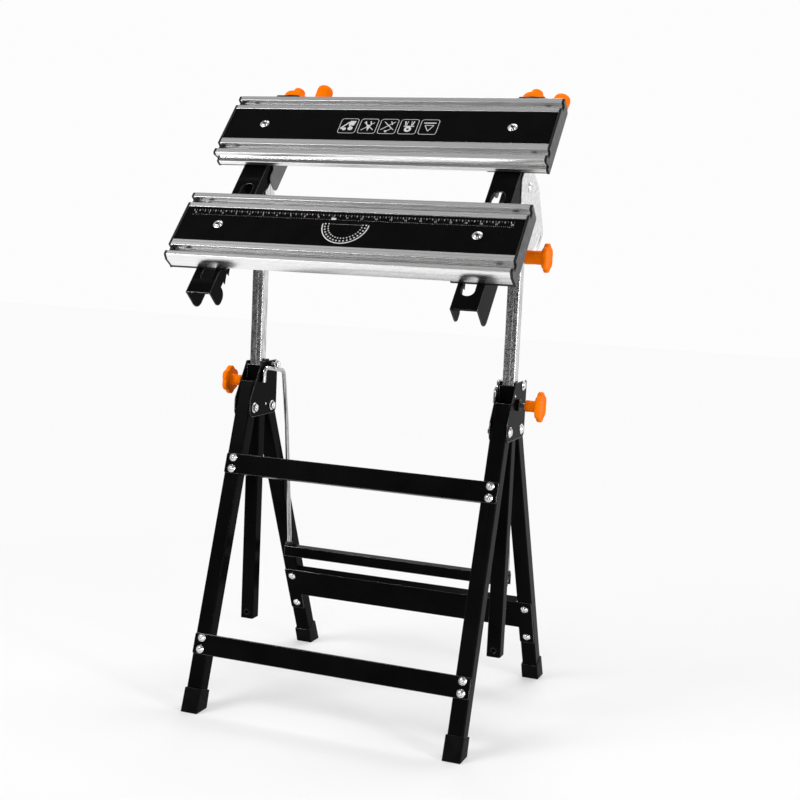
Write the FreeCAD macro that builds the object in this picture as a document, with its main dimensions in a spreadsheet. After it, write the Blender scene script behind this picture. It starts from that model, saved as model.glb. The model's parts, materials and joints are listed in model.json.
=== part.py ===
import FreeCAD, Part
import math
import os

import Sketcher
from FreeCAD import Placement, Rotation, Vector

# Folding workbench with two vice jaws on a tilting top. Millimetres, +Z up, +X along the jaws.
# The origin is on the floor, midway between the foremost and the rearmost point.

SIZES = {
    # Posts, centre tubes and legs
    "jaw_length": 605, "jaw_overhang": 62.5, "post_width": 22, "post_wall": 1.5, "post_corner": 2,
    "slide_clearance": 0.3, "turn_clearance": 0.1, "face_clearance": 0.3,
    "tube_wall": 1.2, "tube_corner": 3, "tube_bottom": 116, "tube_rise": 76, "tube_hole_radius": 4,
    "tube_hole_rise": 12, "post_length": 607,
    "leg_width": 28, "leg_wall": 1.5, "leg_corner": 3,
    "front_pivot_reach": 40, "front_pivot_height": 516, "front_lean": 17.5,
    "rear_pivot_reach": 30, "rear_pivot_drop": 2, "rear_lean": 25,
    "foot_wall": 2, "foot_flare": 1.5, "foot_height": 28, "foot_sole": 5,
    # Head brackets
    "plate_wall": 1.8, "bracket_rise": 6, "bracket_drop": 17, "bracket_front": 56,
    "bracket_rear": 49, "bracket_corner": 12, "bracket_shoulder": 33, "web_height": 27,
    "bail_pivot_reach": 28, "bail_pivot_drop": 2,
    # Crossbars
    "sheet_wall": 1.8, "flange_depth": 15, "front_bar_height": 36, "upper_bar_drop": 106,
    "lower_bar_rise": 114.04, "front_bolt_pitch": 20, "rear_bar_height": 61, "rear_bar_rise": 162.13,
    "rear_ear_height": 35.5, "rear_bolt_pitch": 66, "rear_bolt_rise": 15,
    # Lock bail
    "rod_radius": 4, "rod_tip_reach": 14, "rod_tip_drop": 30, "rod_front_reach": 12.5,
    "rod_top_reach": 67, "rod_knee_reach": 89, "rod_knee_drop": 120, "rod_foot_reach": 118.8,
    "rod_foot_drop": 338, "rod_end_drop": 372, "rod_front_bend": 10, "rod_top_bend": 14,
    "rod_knee_bend": 120, "rod_foot_bend": 40, "rod_top_slope": 7.5,
    "lock_bar_depth": 20, "lock_bar_height": 20, "lock_bar_drop": 358, "lock_bar_inset": 15,
    # Fasteners
    "bolt_radius": 4, "head_radius": 7.5, "head_height": 4, "nut_radius": 7.5, "nut_height": 6.5,
    "small_bolt_radius": 3, "small_head_radius": 5.5, "small_head_height": 3.5,
    # Tilting top
    "pivot_rise": 333, "tilt_angle": 48.3, "post_rise": 12, "pivot_lead": 117.5,
    "pivot_depth": 85.1,
    "beam_inner_reach": 32, "beam_wall": 2, "beam_rear": 40, "beam_front_reach": 193,
    "outer_flange_depth": 85, "inner_flange_depth": 63, "pivot_ear_depth": 101,
    "pivot_ear_half": 17, "nose_radius": 14, "nose_depth": 11, "nose_drop": 20, "nose_length": 33,
    "nose_back": 2,
    "tooth_pitch": 19, "tooth_height": 7, "tooth_lead": 56,
    "slot_width": 22, "slot_reach": 12, "slot_lead": 56, "slot_length": 221,
    "tilt_plate_wall": 2.5, "arc_radius": 115.5, "arc_width": 9, "tilt_plate_margin": 8,
    "plate_end_angle": 6, "plate_front": 20, "plate_rear": 30, "plate_shoulder": 41,
    # Jaws
    "cap_wall": 4.5, "jaw_width": 145, "jaw_gap": 96, "rail_height": 27.6,
    "base_height": 5.1, "base_inset": 1.5, "base_reach": 12, "panel_recess": 1.5, "rear_rail_width": 32,
    "front_rail_width": 38, "rear_lip": 10, "front_lip": 12, "groove_width": 13, "lip_height": 9,
    "groove_undercut": 3.5, "groove_depth": 16, "notch_depth": 6, "notch_height": 19,
    "notch_rise": 5, "notch_step": 1.25,
    "front_bevel_top": 3.5, "front_bevel_middle": 10, "front_bevel_bottom": 2.5,
    "panel_screw_radius": 6.5, "panel_screw_height": 2.5, "washer_radius": 8.5, "washer_height": 1,
    # Clamp screws and cranks
    "screw_radius": 6, "screw_depth": 58, "carriage_half": 12, "carriage_rear": 40,
    "carriage_front": 100, "carriage_bottom": 67, "bridge_wall": 3, "screw_end_lead": 26,
    "clamp_plate_radius": 15, "tongue_wall": 2, "tongue_clearance": 1.7,
    "tongue_top": 49, "tongue_bottom": 85, "tongue_tip": 157, "tongue_rear": 60,
    "tongue_corner": 12, "bearing_wall": 3, "bearing_depth": 78, "hub_radius": 23, "hub_length": 12,
    "dome_radius": 11, "dome_length": 20, "arm_reach": 46, "arm_width": 20, "arm_wall": 9,
    "crank_knob_radius": 15, "crank_knob_length": 42, "crank_pin_radius": 4,
    "left_arm_dip": 12, "right_arm_dip": 35, "crank_gap": 4,
    # Height and tilt knobs
    "height_knob_drop": 33.5, "collar_radius": 10, "collar_length": 5,
    "height_hub_gap": 8.9, "height_hub_radius": 10, "height_hub_length": 21,
    "height_knob_radius": 26, "height_knob_length": 9,
    "tilt_hub_radius": 12, "tilt_hub_length": 31.5, "tilt_knob_radius": 24.5,
    "tilt_knob_length": 9, "lobe_radius": 8, "knob_screw_radius": 4,
    # Working values
    "overrun": 5,
}
LOBES = 6
NUT_SIDES = 6
TOOTH_COUNT = 11
# Shares of a size
HEAD_TOP_SHARE = 0.7
SLOT_ROUND_SHARE = 0.49
LOBE_CORE_SHARE = 0.4
TOOTH_RAMP_SHARE = 0.75
PLATE_ARC_SHARES = (0, 0.25, 0.5, 0.75, 1)
SIDES = {"left": -1, "right": 1}

doc = FreeCAD.newDocument("workbench")
sheet = doc.addObject("Spreadsheet::Sheet", "Sizes")
for row, (alias, value) in enumerate(SIZES.items(), start=1):
    sheet.set(f"A{row}", alias)
    sheet.set(f"B{row}", str(value))
    sheet.setAlias(f"B{row}", alias)
doc.recompute()


class Length:
    """A number together with the sheet expression that gives it."""

    def __init__(self, value, text):
        self.value = float(value)
        self.text = text

    def __add__(self, other):
        other = length(other)
        return Length(self.value + other.value, f"({self.text} + {other.text})")

    def __sub__(self, other):
        other = length(other)
        return Length(self.value - other.value, f"({self.text} - {other.text})")

    def __mul__(self, other):
        other = length(other)
        return Length(self.value * other.value, f"({self.text} * {other.text})")

    def __truediv__(self, other):
        other = length(other)
        return Length(self.value / other.value, f"({self.text} / {other.text})")

    def __radd__(self, other):
        return length(other) + self

    def __rsub__(self, other):
        return length(other) - self

    def __rmul__(self, other):
        return length(other) * self

    def __neg__(self):
        return Length(-self.value, f"(0 - {self.text})")


def length(number):
    return number if isinstance(number, Length) else Length(number, repr(number))


def turn(function, angle):
    """A sine, cosine or tangent of an angle in degrees, as the sheet also works it out."""
    angle = length(angle)
    result = getattr(math, function)(math.radians(angle.value))
    return Length(result, f"{function}({angle.text} * 1 deg)")


class Sheet:
    """Reads a size from the sheet by its alias."""

    def __getattr__(self, alias):
        return Length(sheet.get(alias), f"Sizes.{alias}")


size = Sheet()


def origin_plane(body, role):
    return next(item for item in body.Origin.OriginFeatures if item.Role == role)


def unit(start, end):
    step = end - start
    return step / step.Length


def outline(sketch, corners, closed=True):
    """Draws lines through the corners (x, y) or (x, y, radius), each held by the sheet."""
    points = [Vector(length(c[0]).value, length(c[1]).value, 0) for c in corners]
    count = len(points)
    entries = []
    exits = []
    arcs = {}
    for i, corner in enumerate(corners):
        rounded = len(corner) > 2 and (closed or 0 < i < count - 1)
        if not rounded:
            entries.append(points[i])
            exits.append(points[i])
            continue
        back = unit(points[i], points[i - 1])
        ahead = unit(points[i], points[(i + 1) % count])
        half = back.getAngle(ahead) / 2
        radius = length(corner[2]).value
        entries.append(points[i] + back * (radius / math.tan(half)))
        exits.append(points[i] + ahead * (radius / math.tan(half)))
        centre = points[i] + unit(Vector(), back + ahead) * (radius / math.sin(half))
        left_turn = (-back).cross(ahead).z > 0
        first, last = (entries[i], exits[i]) if left_turn else (exits[i], entries[i])
        start = math.atan2(first.y - centre.y, first.x - centre.x)
        end = math.atan2(last.y - centre.y, last.x - centre.x)
        circle = Part.Circle(centre, Vector(0, 0, 1), radius)
        arcs[i] = (Part.ArcOfCircle(circle, start, end), left_turn)
    spans = count if closed else count - 1
    lines = [sketch.addGeometry(Part.LineSegment(exits[i], entries[(i + 1) % count]))
             for i in range(spans)]
    for i, corner in enumerate(corners):
        if i in arcs:
            before = lines[i - 1]
            after = lines[i]
            arc = sketch.addGeometry(arcs[i][0])
            arc_in, arc_out = (1, 2) if arcs[i][1] else (2, 1)
            pin = sketch.addGeometry(Part.Point(points[i]), True)
            hold(sketch, pin, 1, corner)
            sketch.addConstraint(Sketcher.Constraint("PointOnObject", pin, 1, before))
            sketch.addConstraint(Sketcher.Constraint("PointOnObject", pin, 1, after))
            sketch.addConstraint(Sketcher.Constraint("Tangent", before, 2, arc, arc_in))
            sketch.addConstraint(Sketcher.Constraint("Tangent", arc, arc_out, after, 1))
            bind(sketch, Sketcher.Constraint("Radius", arc, length(corner[2]).value), corner[2])
        elif not closed and i == count - 1:
            hold(sketch, lines[i - 1], 2, corner)
        else:
            hold(sketch, lines[i], 1, corner)
            if closed or i > 0:
                joint = Sketcher.Constraint("Coincident", lines[i - 1], 2, lines[i], 1)
                sketch.addConstraint(joint)


def bind(sketch, constraint, value):
    index = sketch.addConstraint(constraint)
    sketch.setExpression(f"Constraints[{index}]", length(value).text)


def hold(sketch, item, point, corner):
    """Keeps one point at its two sheet distances from the sketch's origin."""
    across = Sketcher.Constraint("DistanceX", -1, 1, item, point, length(corner[0]).value)
    along = Sketcher.Constraint("DistanceY", -1, 1, item, point, length(corner[1]).value)
    bind(sketch, across, corner[0])
    bind(sketch, along, corner[1])


def add_sketch(body, role, start=0):
    sketch = body.newObject("Sketcher::SketchObject", body.Name + "_sketch")
    sketch.AttachmentSupport = (origin_plane(body, role), "")
    sketch.MapMode = "FlatFace"
    sketch.AttachmentOffset = Placement(Vector(0, 0, length(start).value), Rotation())
    sketch.setExpression("AttachmentOffset.Base.z", length(start).text)
    return sketch


def extrude(body, sketch, depth, cut=False):
    """Pads the sketch along its plane's normal, or cuts that way."""
    kind = "PartDesign::Pocket" if cut else "PartDesign::Pad"
    feature = body.newObject(kind, body.Name + ("_pocket" if cut else "_pad"))
    feature.Profile = sketch
    feature.Length = length(depth).value
    feature.setExpression("Length", length(depth).text)
    feature.Reversed = cut
    sketch.Visibility = False
    return feature


def prism(body, role, corners, start, depth, cut=False):
    sketch = add_sketch(body, role, start)
    outline(sketch, corners)
    return extrude(body, sketch, depth, cut)


def disc(body, role, centre, radius, start, depth, cut=False):
    sketch = add_sketch(body, role, start)
    circle = Part.Circle(Vector(length(centre[0]).value, length(centre[1]).value, 0),
                         Vector(0, 0, 1), length(radius).value)
    item = sketch.addGeometry(circle)
    hold(sketch, item, 3, centre)
    bind(sketch, Sketcher.Constraint("Radius", item, length(radius).value), radius)
    return extrude(body, sketch, depth, cut)


def box_corners(low_x, high_x, low_y, high_y, radius=None):
    corners = [(low_x, low_y), (high_x, low_y), (high_x, high_y), (low_x, high_y)]
    return [c + (radius,) for c in corners] if radius is not None else corners


def span(side, inner, outer):
    """The lower X and the width of a stretch on one side of the middle."""
    start = inner if SIDES[side] > 0 else -length(outer)
    return length(start), length(outer) - inner


def new_body(name):
    return doc.addObject("PartDesign::Body", name)


nodes = []


def finish(item, name, place=None):
    """Names a sub-part and puts it in its place."""
    item.Label = name
    item.Placement = place or STAND
    nodes.append(item)
    return item


def gather(name, items, place=None):
    """One sub-part made of several separate solids."""
    group = doc.addObject("Part::Compound", name + "_group")
    group.Links = items
    return finish(group, name, place)


def solid(kind, name, start, at, values):
    """A primitive that grows along +X from start, with its centre line at (Y, Z)."""
    item = doc.addObject(kind, name)
    for key, value in values.items():
        setattr(item, key, length(value).value)
        item.setExpression(key, length(value).text)
    base = Vector(length(start).value, length(at[0]).value, length(at[1]).value)
    item.Placement = Placement(base, Rotation(Vector(0, 1, 0), 90))
    return item


def cylinder(name, start, at, radius, run):
    return solid("Part::Cylinder", name, start, at, {"Radius": radius, "Height": run})


def cone(name, start, at, first, last, run):
    return solid("Part::Cone", name, start, at, {"Radius1": first, "Radius2": last, "Height": run})


def hexagon(name, start, at, radius, run):
    item = solid("Part::Prism", name, start, at, {"Circumradius": radius, "Height": run})
    item.Polygon = 6
    return item


def fuse(name, items):
    item = doc.addObject("Part::MultiFuse", name)
    item.Shapes = items
    return item


def cut(name, base, tool):
    item = doc.addObject("Part::Cut", name)
    item.Base = base
    item.Tool = tool
    return item


def cross_bolt(name, side, at, head_face, nut_face):
    """A bolt across the stand with its head outside and its nut towards the middle."""
    shank_end = nut_face - size.nut_height
    start, run = span(side, shank_end, head_face)
    shank = cylinder(name + "_shank", start, at, size.bolt_radius, run)
    start, run = span(side, head_face, head_face + size.head_height)
    wide, narrow = size.head_radius, size.head_radius * HEAD_TOP_SHARE
    first, last = (wide, narrow) if SIDES[side] > 0 else (narrow, wide)
    head = cone(name + "_head", start, at, first, last, run)
    start, run = span(side, shank_end, nut_face)
    blank = hexagon(name + "_nut_blank", start, at, size.nut_radius, run)
    bore = cylinder(name + "_nut_bore", start, at, size.bolt_radius, run)
    return [fuse(name + "_bolt", [shank, head]), cut(name + "_nut", blank, bore)]


# Places that several pieces share
stand_spread = size.jaw_length / 2 - size.jaw_overhang
tube_half = size.post_width / 2 + size.slide_clearance + size.tube_wall
post_half = size.post_width / 2
leg_half = size.leg_width / 2
tube_top = size.front_pivot_height + size.tube_rise
rear_pivot_height = size.front_pivot_height - size.rear_pivot_drop
bail_pivot_height = tube_top - size.bail_pivot_drop
bracket_top = tube_top + size.bracket_rise
bracket_bottom = size.front_pivot_height - size.bracket_drop
height_knob_level = tube_top - size.height_knob_drop
pivot_height = tube_top + size.pivot_rise
post_top = pivot_height + size.post_rise
post_bottom = post_top - size.post_length
lower_bar_drop = size.front_pivot_height / turn("cos", size.front_lean) - size.lower_bar_rise
rear_bar_drop = rear_pivot_height / turn("cos", size.rear_lean) - size.rear_bar_rise
lock_bar_top = bail_pivot_height - size.lock_bar_drop
lock_bar_half = stand_spread - size.lock_bar_inset
inner_plate = stand_spread - leg_half - size.face_clearance
outer_plate = stand_spread + leg_half + size.face_clearance
inner_face = inner_plate - size.plate_wall
outer_face = outer_plate + size.plate_wall
height_hub_start = outer_face + size.collar_length + size.height_hub_gap
front_jaw_start = size.jaw_width + size.jaw_gap
pivot_down_slope = front_jaw_start - size.pivot_lead
beam_inner = stand_spread - size.beam_inner_reach
beam_outer = stand_spread + post_half + size.face_clearance + size.beam_wall
beam_front = front_jaw_start + size.beam_front_reach
tooth_start = front_jaw_start - size.tooth_lead
slot_centre = stand_spread - size.slot_reach
slot_rear = front_jaw_start - size.slot_lead
screw_end = front_jaw_start - size.screw_end_lead
jaw_height = size.rail_height + size.base_height
beam_top = size.pivot_depth - jaw_height - size.face_clearance
rear_foot_half = leg_half + size.foot_wall + size.foot_flare


def forward_of(y, z, lean):
    """The Y of a point after its frame has leaned about +X."""
    return y * turn("cos", lean) - z * turn("sin", lean)


front_end = forward_of(pivot_down_slope - beam_front, beam_top, size.tilt_angle)
rear_end = (size.rear_pivot_reach + rear_pivot_height * turn("tan", size.rear_lean)
            + rear_foot_half / turn("cos", size.rear_lean))
origin_shift = -(front_end.value + rear_end.value) / 2


def frame(y, z, lean):
    spot = Vector(0, length(y).value + origin_shift, length(z).value)
    return Placement(spot, Rotation(Vector(1, 0, 0), length(lean).value))


STAND = frame(0, 0, 0)
FRONT_LEGS = frame(-size.front_pivot_reach, size.front_pivot_height, -size.front_lean)
REAR_LEGS = frame(size.rear_pivot_reach, rear_pivot_height, size.rear_lean)
TOP = frame(0, pivot_height, size.tilt_angle)


def square_tube(name, side, half, wall, corner, low, high):
    """A hollow square tube standing along Z on one side of the stand."""
    body = new_body(name)
    start, width = span(side, stand_spread - half, stand_spread + half)
    prism(body, "XY_Plane", box_corners(start, start + width, -half, half, corner),
          low, high - low)
    inside = box_corners(start + wall, start + width - wall, -half + wall, half - wall,
                         corner - wall)
    prism(body, "XY_Plane", inside, low - size.overrun, high - low + 2 * size.overrun, cut=True)
    return body


def cross_hole(body, side, at, radius, inner, outer):
    """A round hole along X between two distances from the middle."""
    start, run = span(side, inner, outer)
    disc(body, "YZ_Plane", at, radius, start, run, cut=True)


def add_centre_tube(side):
    body = square_tube("centre_tube_" + side, side, tube_half, size.tube_wall, size.tube_corner,
                       size.tube_bottom, tube_top)
    at = (0, height_knob_level)
    cross_hole(body, side, at, size.knob_screw_radius + size.turn_clearance,
               stand_spread, stand_spread + tube_half + size.overrun)
    centre = (SIDES[side] * stand_spread, size.tube_bottom + size.tube_hole_rise)
    disc(body, "XZ_Plane", centre, size.tube_hole_radius, 0, tube_half + size.overrun, cut=True)
    finish(body, "centre_tube_" + side)


def add_head_bracket(side):
    """Two side plates on a front web that wraps the centre tube."""
    body = new_body("head_bracket_" + side)
    web_front = -tube_half - size.plate_wall
    shoulder = bracket_bottom + size.bracket_shoulder
    corners = [(web_front, bracket_top, size.plate_wall),
               (-size.bracket_front, shoulder, size.bracket_corner),
               (-size.bracket_front, bracket_bottom, size.bracket_corner),
               (size.bracket_rear, bracket_bottom, size.bracket_corner),
               (size.bracket_rear, bracket_top, size.bracket_corner / 2)]
    start, width = span(side, inner_face, outer_face)
    prism(body, "XZ_Plane", box_corners(start, start + width, tube_top - size.web_height,
                                        tube_top), tube_half, size.plate_wall)
    for inner, outer in ((inner_face, inner_plate), (outer_plate, outer_face)):
        start, width = span(side, inner, outer)
        prism(body, "YZ_Plane", corners, start, width)
    for at in (front_pivot, rear_pivot, bail_pivot):
        cross_hole(body, side, at, size.bolt_radius, inner_face - size.overrun,
                   outer_face + size.overrun)
    cross_hole(body, side, (0, height_knob_level),
               size.knob_screw_radius + size.turn_clearance, outer_plate - size.face_clearance,
               outer_face + size.overrun)
    finish(body, "head_bracket_" + side)


front_pivot = (-size.front_pivot_reach, size.front_pivot_height)
rear_pivot = (size.rear_pivot_reach, rear_pivot_height)
bail_pivot = (size.bail_pivot_reach, bail_pivot_height)
rod_plane = inner_face - size.face_clearance - size.rod_radius


def add_clamp_collar(side):
    start, run = span(side, outer_face, outer_face + size.collar_length)
    at = (0, height_knob_level)
    blank = cylinder("collar_blank_" + side, start, at, size.collar_radius, run)
    bore = cylinder("collar_bore_" + side, start, at,
                    size.knob_screw_radius + size.turn_clearance, run)
    finish(cut("clamp_collar_" + side, blank, bore), "clamp_collar_" + side)


def add_head_bolts():
    rod_room = rod_plane - size.rod_radius - size.face_clearance
    for label, at, nut_face in (("front_pivot_bolts", front_pivot, inner_face),
                                ("rear_pivot_bolts", rear_pivot, inner_face),
                                ("bail_bolts", bail_pivot, rod_room)):
        items = []
        for side in SIDES:
            items += cross_bolt(f"{label}_{side}", side, at, outer_face, nut_face)
        gather(label, items)


def pivot_overshoot(reach, lean):
    """How far a leg stands above its pivot to rest its upper corner against the tube."""
    room = reach - tube_half - size.face_clearance
    return (room - leg_half * turn("cos", lean)) / turn("sin", lean)


def leg_floor(height, lean, y):
    """The local Z of the floor under a leaning leg, at the local Y."""
    return -(height / turn("cos", lean)) - y * turn("tan", lean)


def add_leg(label, side, place, height, lean, overshoot, bolt_drops):
    """A leg tube with its plastic foot, drawn upright about the pivot."""
    heel = leg_half if lean.value < 0 else -leg_half
    leg_end = leg_floor(height, lean, heel) + size.foot_sole
    body = square_tube(f"{label}_leg_{side}", side, leg_half, size.leg_wall, size.leg_corner,
                       leg_end, overshoot)
    cross_hole(body, side, (0, 0), size.bolt_radius + size.turn_clearance,
               stand_spread - leg_half - size.overrun,
               stand_spread + leg_half + size.overrun)
    for drop in bolt_drops:
        disc(body, "XZ_Plane", (SIDES[side] * stand_spread, -drop), size.small_bolt_radius,
             0, leg_half + size.overrun, cut=True)
    finish(body, f"{label}_leg_{side}", place)

    foot = new_body(f"{label}_foot_{side}")
    upper = leg_half + size.foot_wall
    lower = upper + size.foot_flare
    top = leg_end + size.foot_height
    corners = [(-upper, top), (-lower, leg_floor(height, lean, -lower)),
               (lower, leg_floor(height, lean, lower)), (upper, top)]
    start, width = span(side, stand_spread - upper, stand_spread + upper)
    prism(foot, "YZ_Plane", corners, start, width)
    start, width = span(side, stand_spread - leg_half, stand_spread + leg_half)
    prism(foot, "XY_Plane", box_corners(start, start + width, -leg_half, leg_half,
                                        size.leg_corner),
          leg_end, size.foot_height + size.overrun, cut=True)
    finish(foot, f"{label}_foot_{side}", place)


def add_crossbar(name, place, drop, height, ear_height, bolt_drops):
    """A folded bar across the front of two legs, with its flanges turned back between them."""
    body = new_body(name)
    half_span = stand_spread + leg_half
    inside = stand_spread - leg_half - size.face_clearance
    top = -drop + height / 2
    bottom = top - height
    if ear_height is None:
        corners = box_corners(-half_span, half_span, bottom, top, size.leg_corner)
    else:
        ear = bottom - ear_height
        corners = [(-half_span, ear, size.leg_corner), (-inside, ear, size.leg_corner),
                   (-inside, bottom), (inside, bottom), (inside, ear, size.leg_corner),
                   (half_span, ear, size.leg_corner), (half_span, top, size.leg_corner),
                   (-half_span, top, size.leg_corner)]
    prism(body, "XZ_Plane", corners, leg_half, size.sheet_wall)
    for edge in (top - size.sheet_wall, bottom):
        prism(body, "XZ_Plane", box_corners(-inside, inside, edge, edge + size.sheet_wall),
              leg_half - size.flange_depth, size.flange_depth)
    for side in SIDES:
        for bolt_drop in bolt_drops:
            disc(body, "XZ_Plane", (SIDES[side] * stand_spread, -bolt_drop),
                 size.small_bolt_radius, leg_half - size.overrun,
                 size.sheet_wall + 2 * size.overrun, cut=True)
    finish(body, name, place)


def face_bolt(name, across, rise, front, reach):
    """A short bolt that points backwards, with its head on a front face."""
    body = new_body(name)
    disc(body, "XZ_Plane", (across, rise), size.small_bolt_radius, front - reach, reach)
    disc(body, "XZ_Plane", (across, rise), size.small_head_radius, front, size.small_head_height)
    return body


def add_bar_bolts(label, place, drops):
    front = leg_half + size.sheet_wall
    items = [face_bolt(f"{label}_{side}_{index}", SIDES[side] * stand_spread, -drop, front,
                       size.sheet_wall + 2 * size.leg_wall)
             for side in SIDES for index, drop in enumerate(drops)]
    gather(label, items, place)


upper_drops = [size.upper_bar_drop - size.front_bolt_pitch / 2,
               size.upper_bar_drop + size.front_bolt_pitch / 2]
lower_drops = [lower_bar_drop - size.front_bolt_pitch / 2,
               lower_bar_drop + size.front_bolt_pitch / 2]
rear_first_drop = rear_bar_drop - size.rear_bolt_rise
rear_drops = [rear_first_drop, rear_first_drop + size.rear_bolt_pitch]

for side in SIDES:
    add_centre_tube(side)
    add_head_bracket(side)
    add_clamp_collar(side)
    add_leg("front", side, FRONT_LEGS, size.front_pivot_height, -size.front_lean,
            pivot_overshoot(size.front_pivot_reach, size.front_lean), upper_drops + lower_drops)
    add_leg("rear", side, REAR_LEGS, rear_pivot_height, size.rear_lean,
            pivot_overshoot(size.rear_pivot_reach, size.rear_lean), rear_drops)
add_head_bolts()
add_crossbar("front_upper_crossbar", FRONT_LEGS, size.upper_bar_drop, size.front_bar_height,
             None, upper_drops)
add_crossbar("front_lower_crossbar", FRONT_LEGS, lower_bar_drop, size.front_bar_height,
             None, lower_drops)
add_crossbar("rear_crossbar", REAR_LEGS, rear_bar_drop, size.rear_bar_height,
             size.rear_ear_height, rear_drops)
add_bar_bolts("front_crossbar_bolts", FRONT_LEGS, upper_drops + lower_drops)
add_bar_bolts("rear_crossbar_bolts", REAR_LEGS, rear_drops)


def add_lock_bail():
    """The bar across the rear legs, hung from two bent rods."""
    bar = new_body("lock_bar")
    rear = size.rod_foot_reach + size.lock_bar_depth / 2
    front = rear - size.lock_bar_depth
    low = lock_bar_top - size.lock_bar_height
    under = lock_bar_top - size.sheet_wall
    channel = [(front, low), (front + size.sheet_wall, low), (front + size.sheet_wall, under),
               (rear - size.sheet_wall, under), (rear - size.sheet_wall, low), (rear, low),
               (rear, lock_bar_top), (front, lock_bar_top)]
    prism(bar, "YZ_Plane", channel, -lock_bar_half, 2 * lock_bar_half)
    nuts = []
    for side in SIDES:
        middle = SIDES[side] * rod_plane
        foot = (middle, size.rod_foot_reach)
        disc(bar, "XY_Plane", foot, size.rod_radius, under - size.overrun,
             size.sheet_wall + 2 * size.overrun, cut=True)
        for label, level in (("upper", lock_bar_top), ("lower", under - size.nut_height)):
            nuts.append(rod_nut(f"rod_nut_{side}_{label}", foot, level))
        add_lock_rod(side, middle, foot)
    finish(bar, "lock_bar")
    gather("lock_rod_nuts", nuts)


def rod_nut(name, centre, level):
    body = new_body(name)
    turn_step = 360 / NUT_SIDES
    corners = [(centre[0] + size.nut_radius * turn("cos", turn_step * i),
                centre[1] + size.nut_radius * turn("sin", turn_step * i))
               for i in range(NUT_SIDES)]
    prism(body, "XY_Plane", corners, level, size.nut_height)
    disc(body, "XY_Plane", centre, size.rod_radius, level - size.overrun,
         size.nut_height + 2 * size.overrun, cut=True)
    return body


def add_lock_rod(side, middle, foot):
    body = new_body("lock_rod_" + side)
    hang = size.bolt_radius + size.rod_radius + size.face_clearance
    slope = turn("tan", size.rod_top_slope)
    level = bail_pivot_height - hang / turn("cos", size.rod_top_slope)

    def corner_height(reach):
        return level - (reach - size.bail_pivot_reach) * slope

    route = [(size.rod_foot_reach, bail_pivot_height - size.rod_end_drop),
             (size.rod_foot_reach, bail_pivot_height - size.rod_foot_drop, size.rod_foot_bend),
             (size.rod_knee_reach, bail_pivot_height - size.rod_knee_drop, size.rod_knee_bend),
             (size.rod_top_reach, corner_height(size.rod_top_reach), size.rod_top_bend),
             (-size.rod_front_reach, corner_height(-size.rod_front_reach), size.rod_front_bend),
             (-size.rod_tip_reach, bail_pivot_height - size.rod_tip_drop)]
    spine = add_sketch(body, "YZ_Plane", middle)
    outline(spine, route, closed=False)
    ring = add_sketch(body, "XY_Plane", bail_pivot_height - size.rod_end_drop)
    centre = Vector(foot[0].value, foot[1].value, 0)
    item = ring.addGeometry(Part.Circle(centre, Vector(0, 0, 1), size.rod_radius.value))
    hold(ring, item, 3, foot)
    bind(ring, Sketcher.Constraint("Radius", item, size.rod_radius.value), size.rod_radius)
    pipe = body.newObject("PartDesign::AdditivePipe", "rod_pipe_" + side)
    pipe.Profile = ring
    pipe.Spine = (spine, [])
    finish(body, "lock_rod_" + side)


def add_posts():
    lock_height = pivot_height - size.arc_radius
    screw_hole = size.knob_screw_radius + size.turn_clearance
    for side in SIDES:
        body = square_tube("post_" + side, side, post_half, size.post_wall, size.post_corner,
                           post_bottom, post_top)
        cross_hole(body, side, (0, pivot_height), size.bolt_radius,
                   stand_spread - post_half - size.overrun,
                   stand_spread + post_half + size.overrun)
        cross_hole(body, side, (0, lock_height), screw_hole, stand_spread,
                   stand_spread + post_half + size.overrun)
        finish(body, "post_" + side)
    items = []
    for side in SIDES:
        items += cross_bolt("tilt_bolt_" + side, side, (0, pivot_height),
                            tilt_plate_face + size.face_clearance,
                            stand_spread - post_half)
    gather("tilt_pivot_bolts", items)


def slope(along, depth):
    """A point of the top's own frame from its place down the slope and below the jaws."""
    return (pivot_down_slope - along, size.pivot_depth - depth)


def slope_prism(body, corners, start, width, cut=False):
    """A prism along X whose outline is given down the slope and below the jaws."""
    placed = [slope(c[0], c[1]) + tuple(c[2:]) for c in corners]
    return prism(body, "YZ_Plane", placed, start, width, cut)


def slope_disc(body, across, depth, radius, first, last, cut=False):
    """A round piece or hole that runs down the slope from first to last."""
    return disc(body, "XZ_Plane", (across, size.pivot_depth - depth), radius,
                first - pivot_down_slope, last - first, cut)


tilt_plate_face = beam_outer + size.tilt_plate_wall
beam_depth = size.pivot_depth - beam_top
inner_root = size.inner_flange_depth - size.tooth_height
nose_start = beam_front - size.nose_length


def beam_web_slot(body, side, first, last):
    half = size.slot_width / 2
    round_end = size.slot_width * SLOT_ROUND_SHARE
    start, width = span(side, slot_centre - half, slot_centre + half)
    low = pivot_down_slope - last
    high = pivot_down_slope - first
    prism(body, "XY_Plane", box_corners(start, start + width, low, high, round_end),
          beam_top - size.beam_wall - size.overrun, size.beam_wall + 2 * size.overrun, cut=True)


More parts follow.
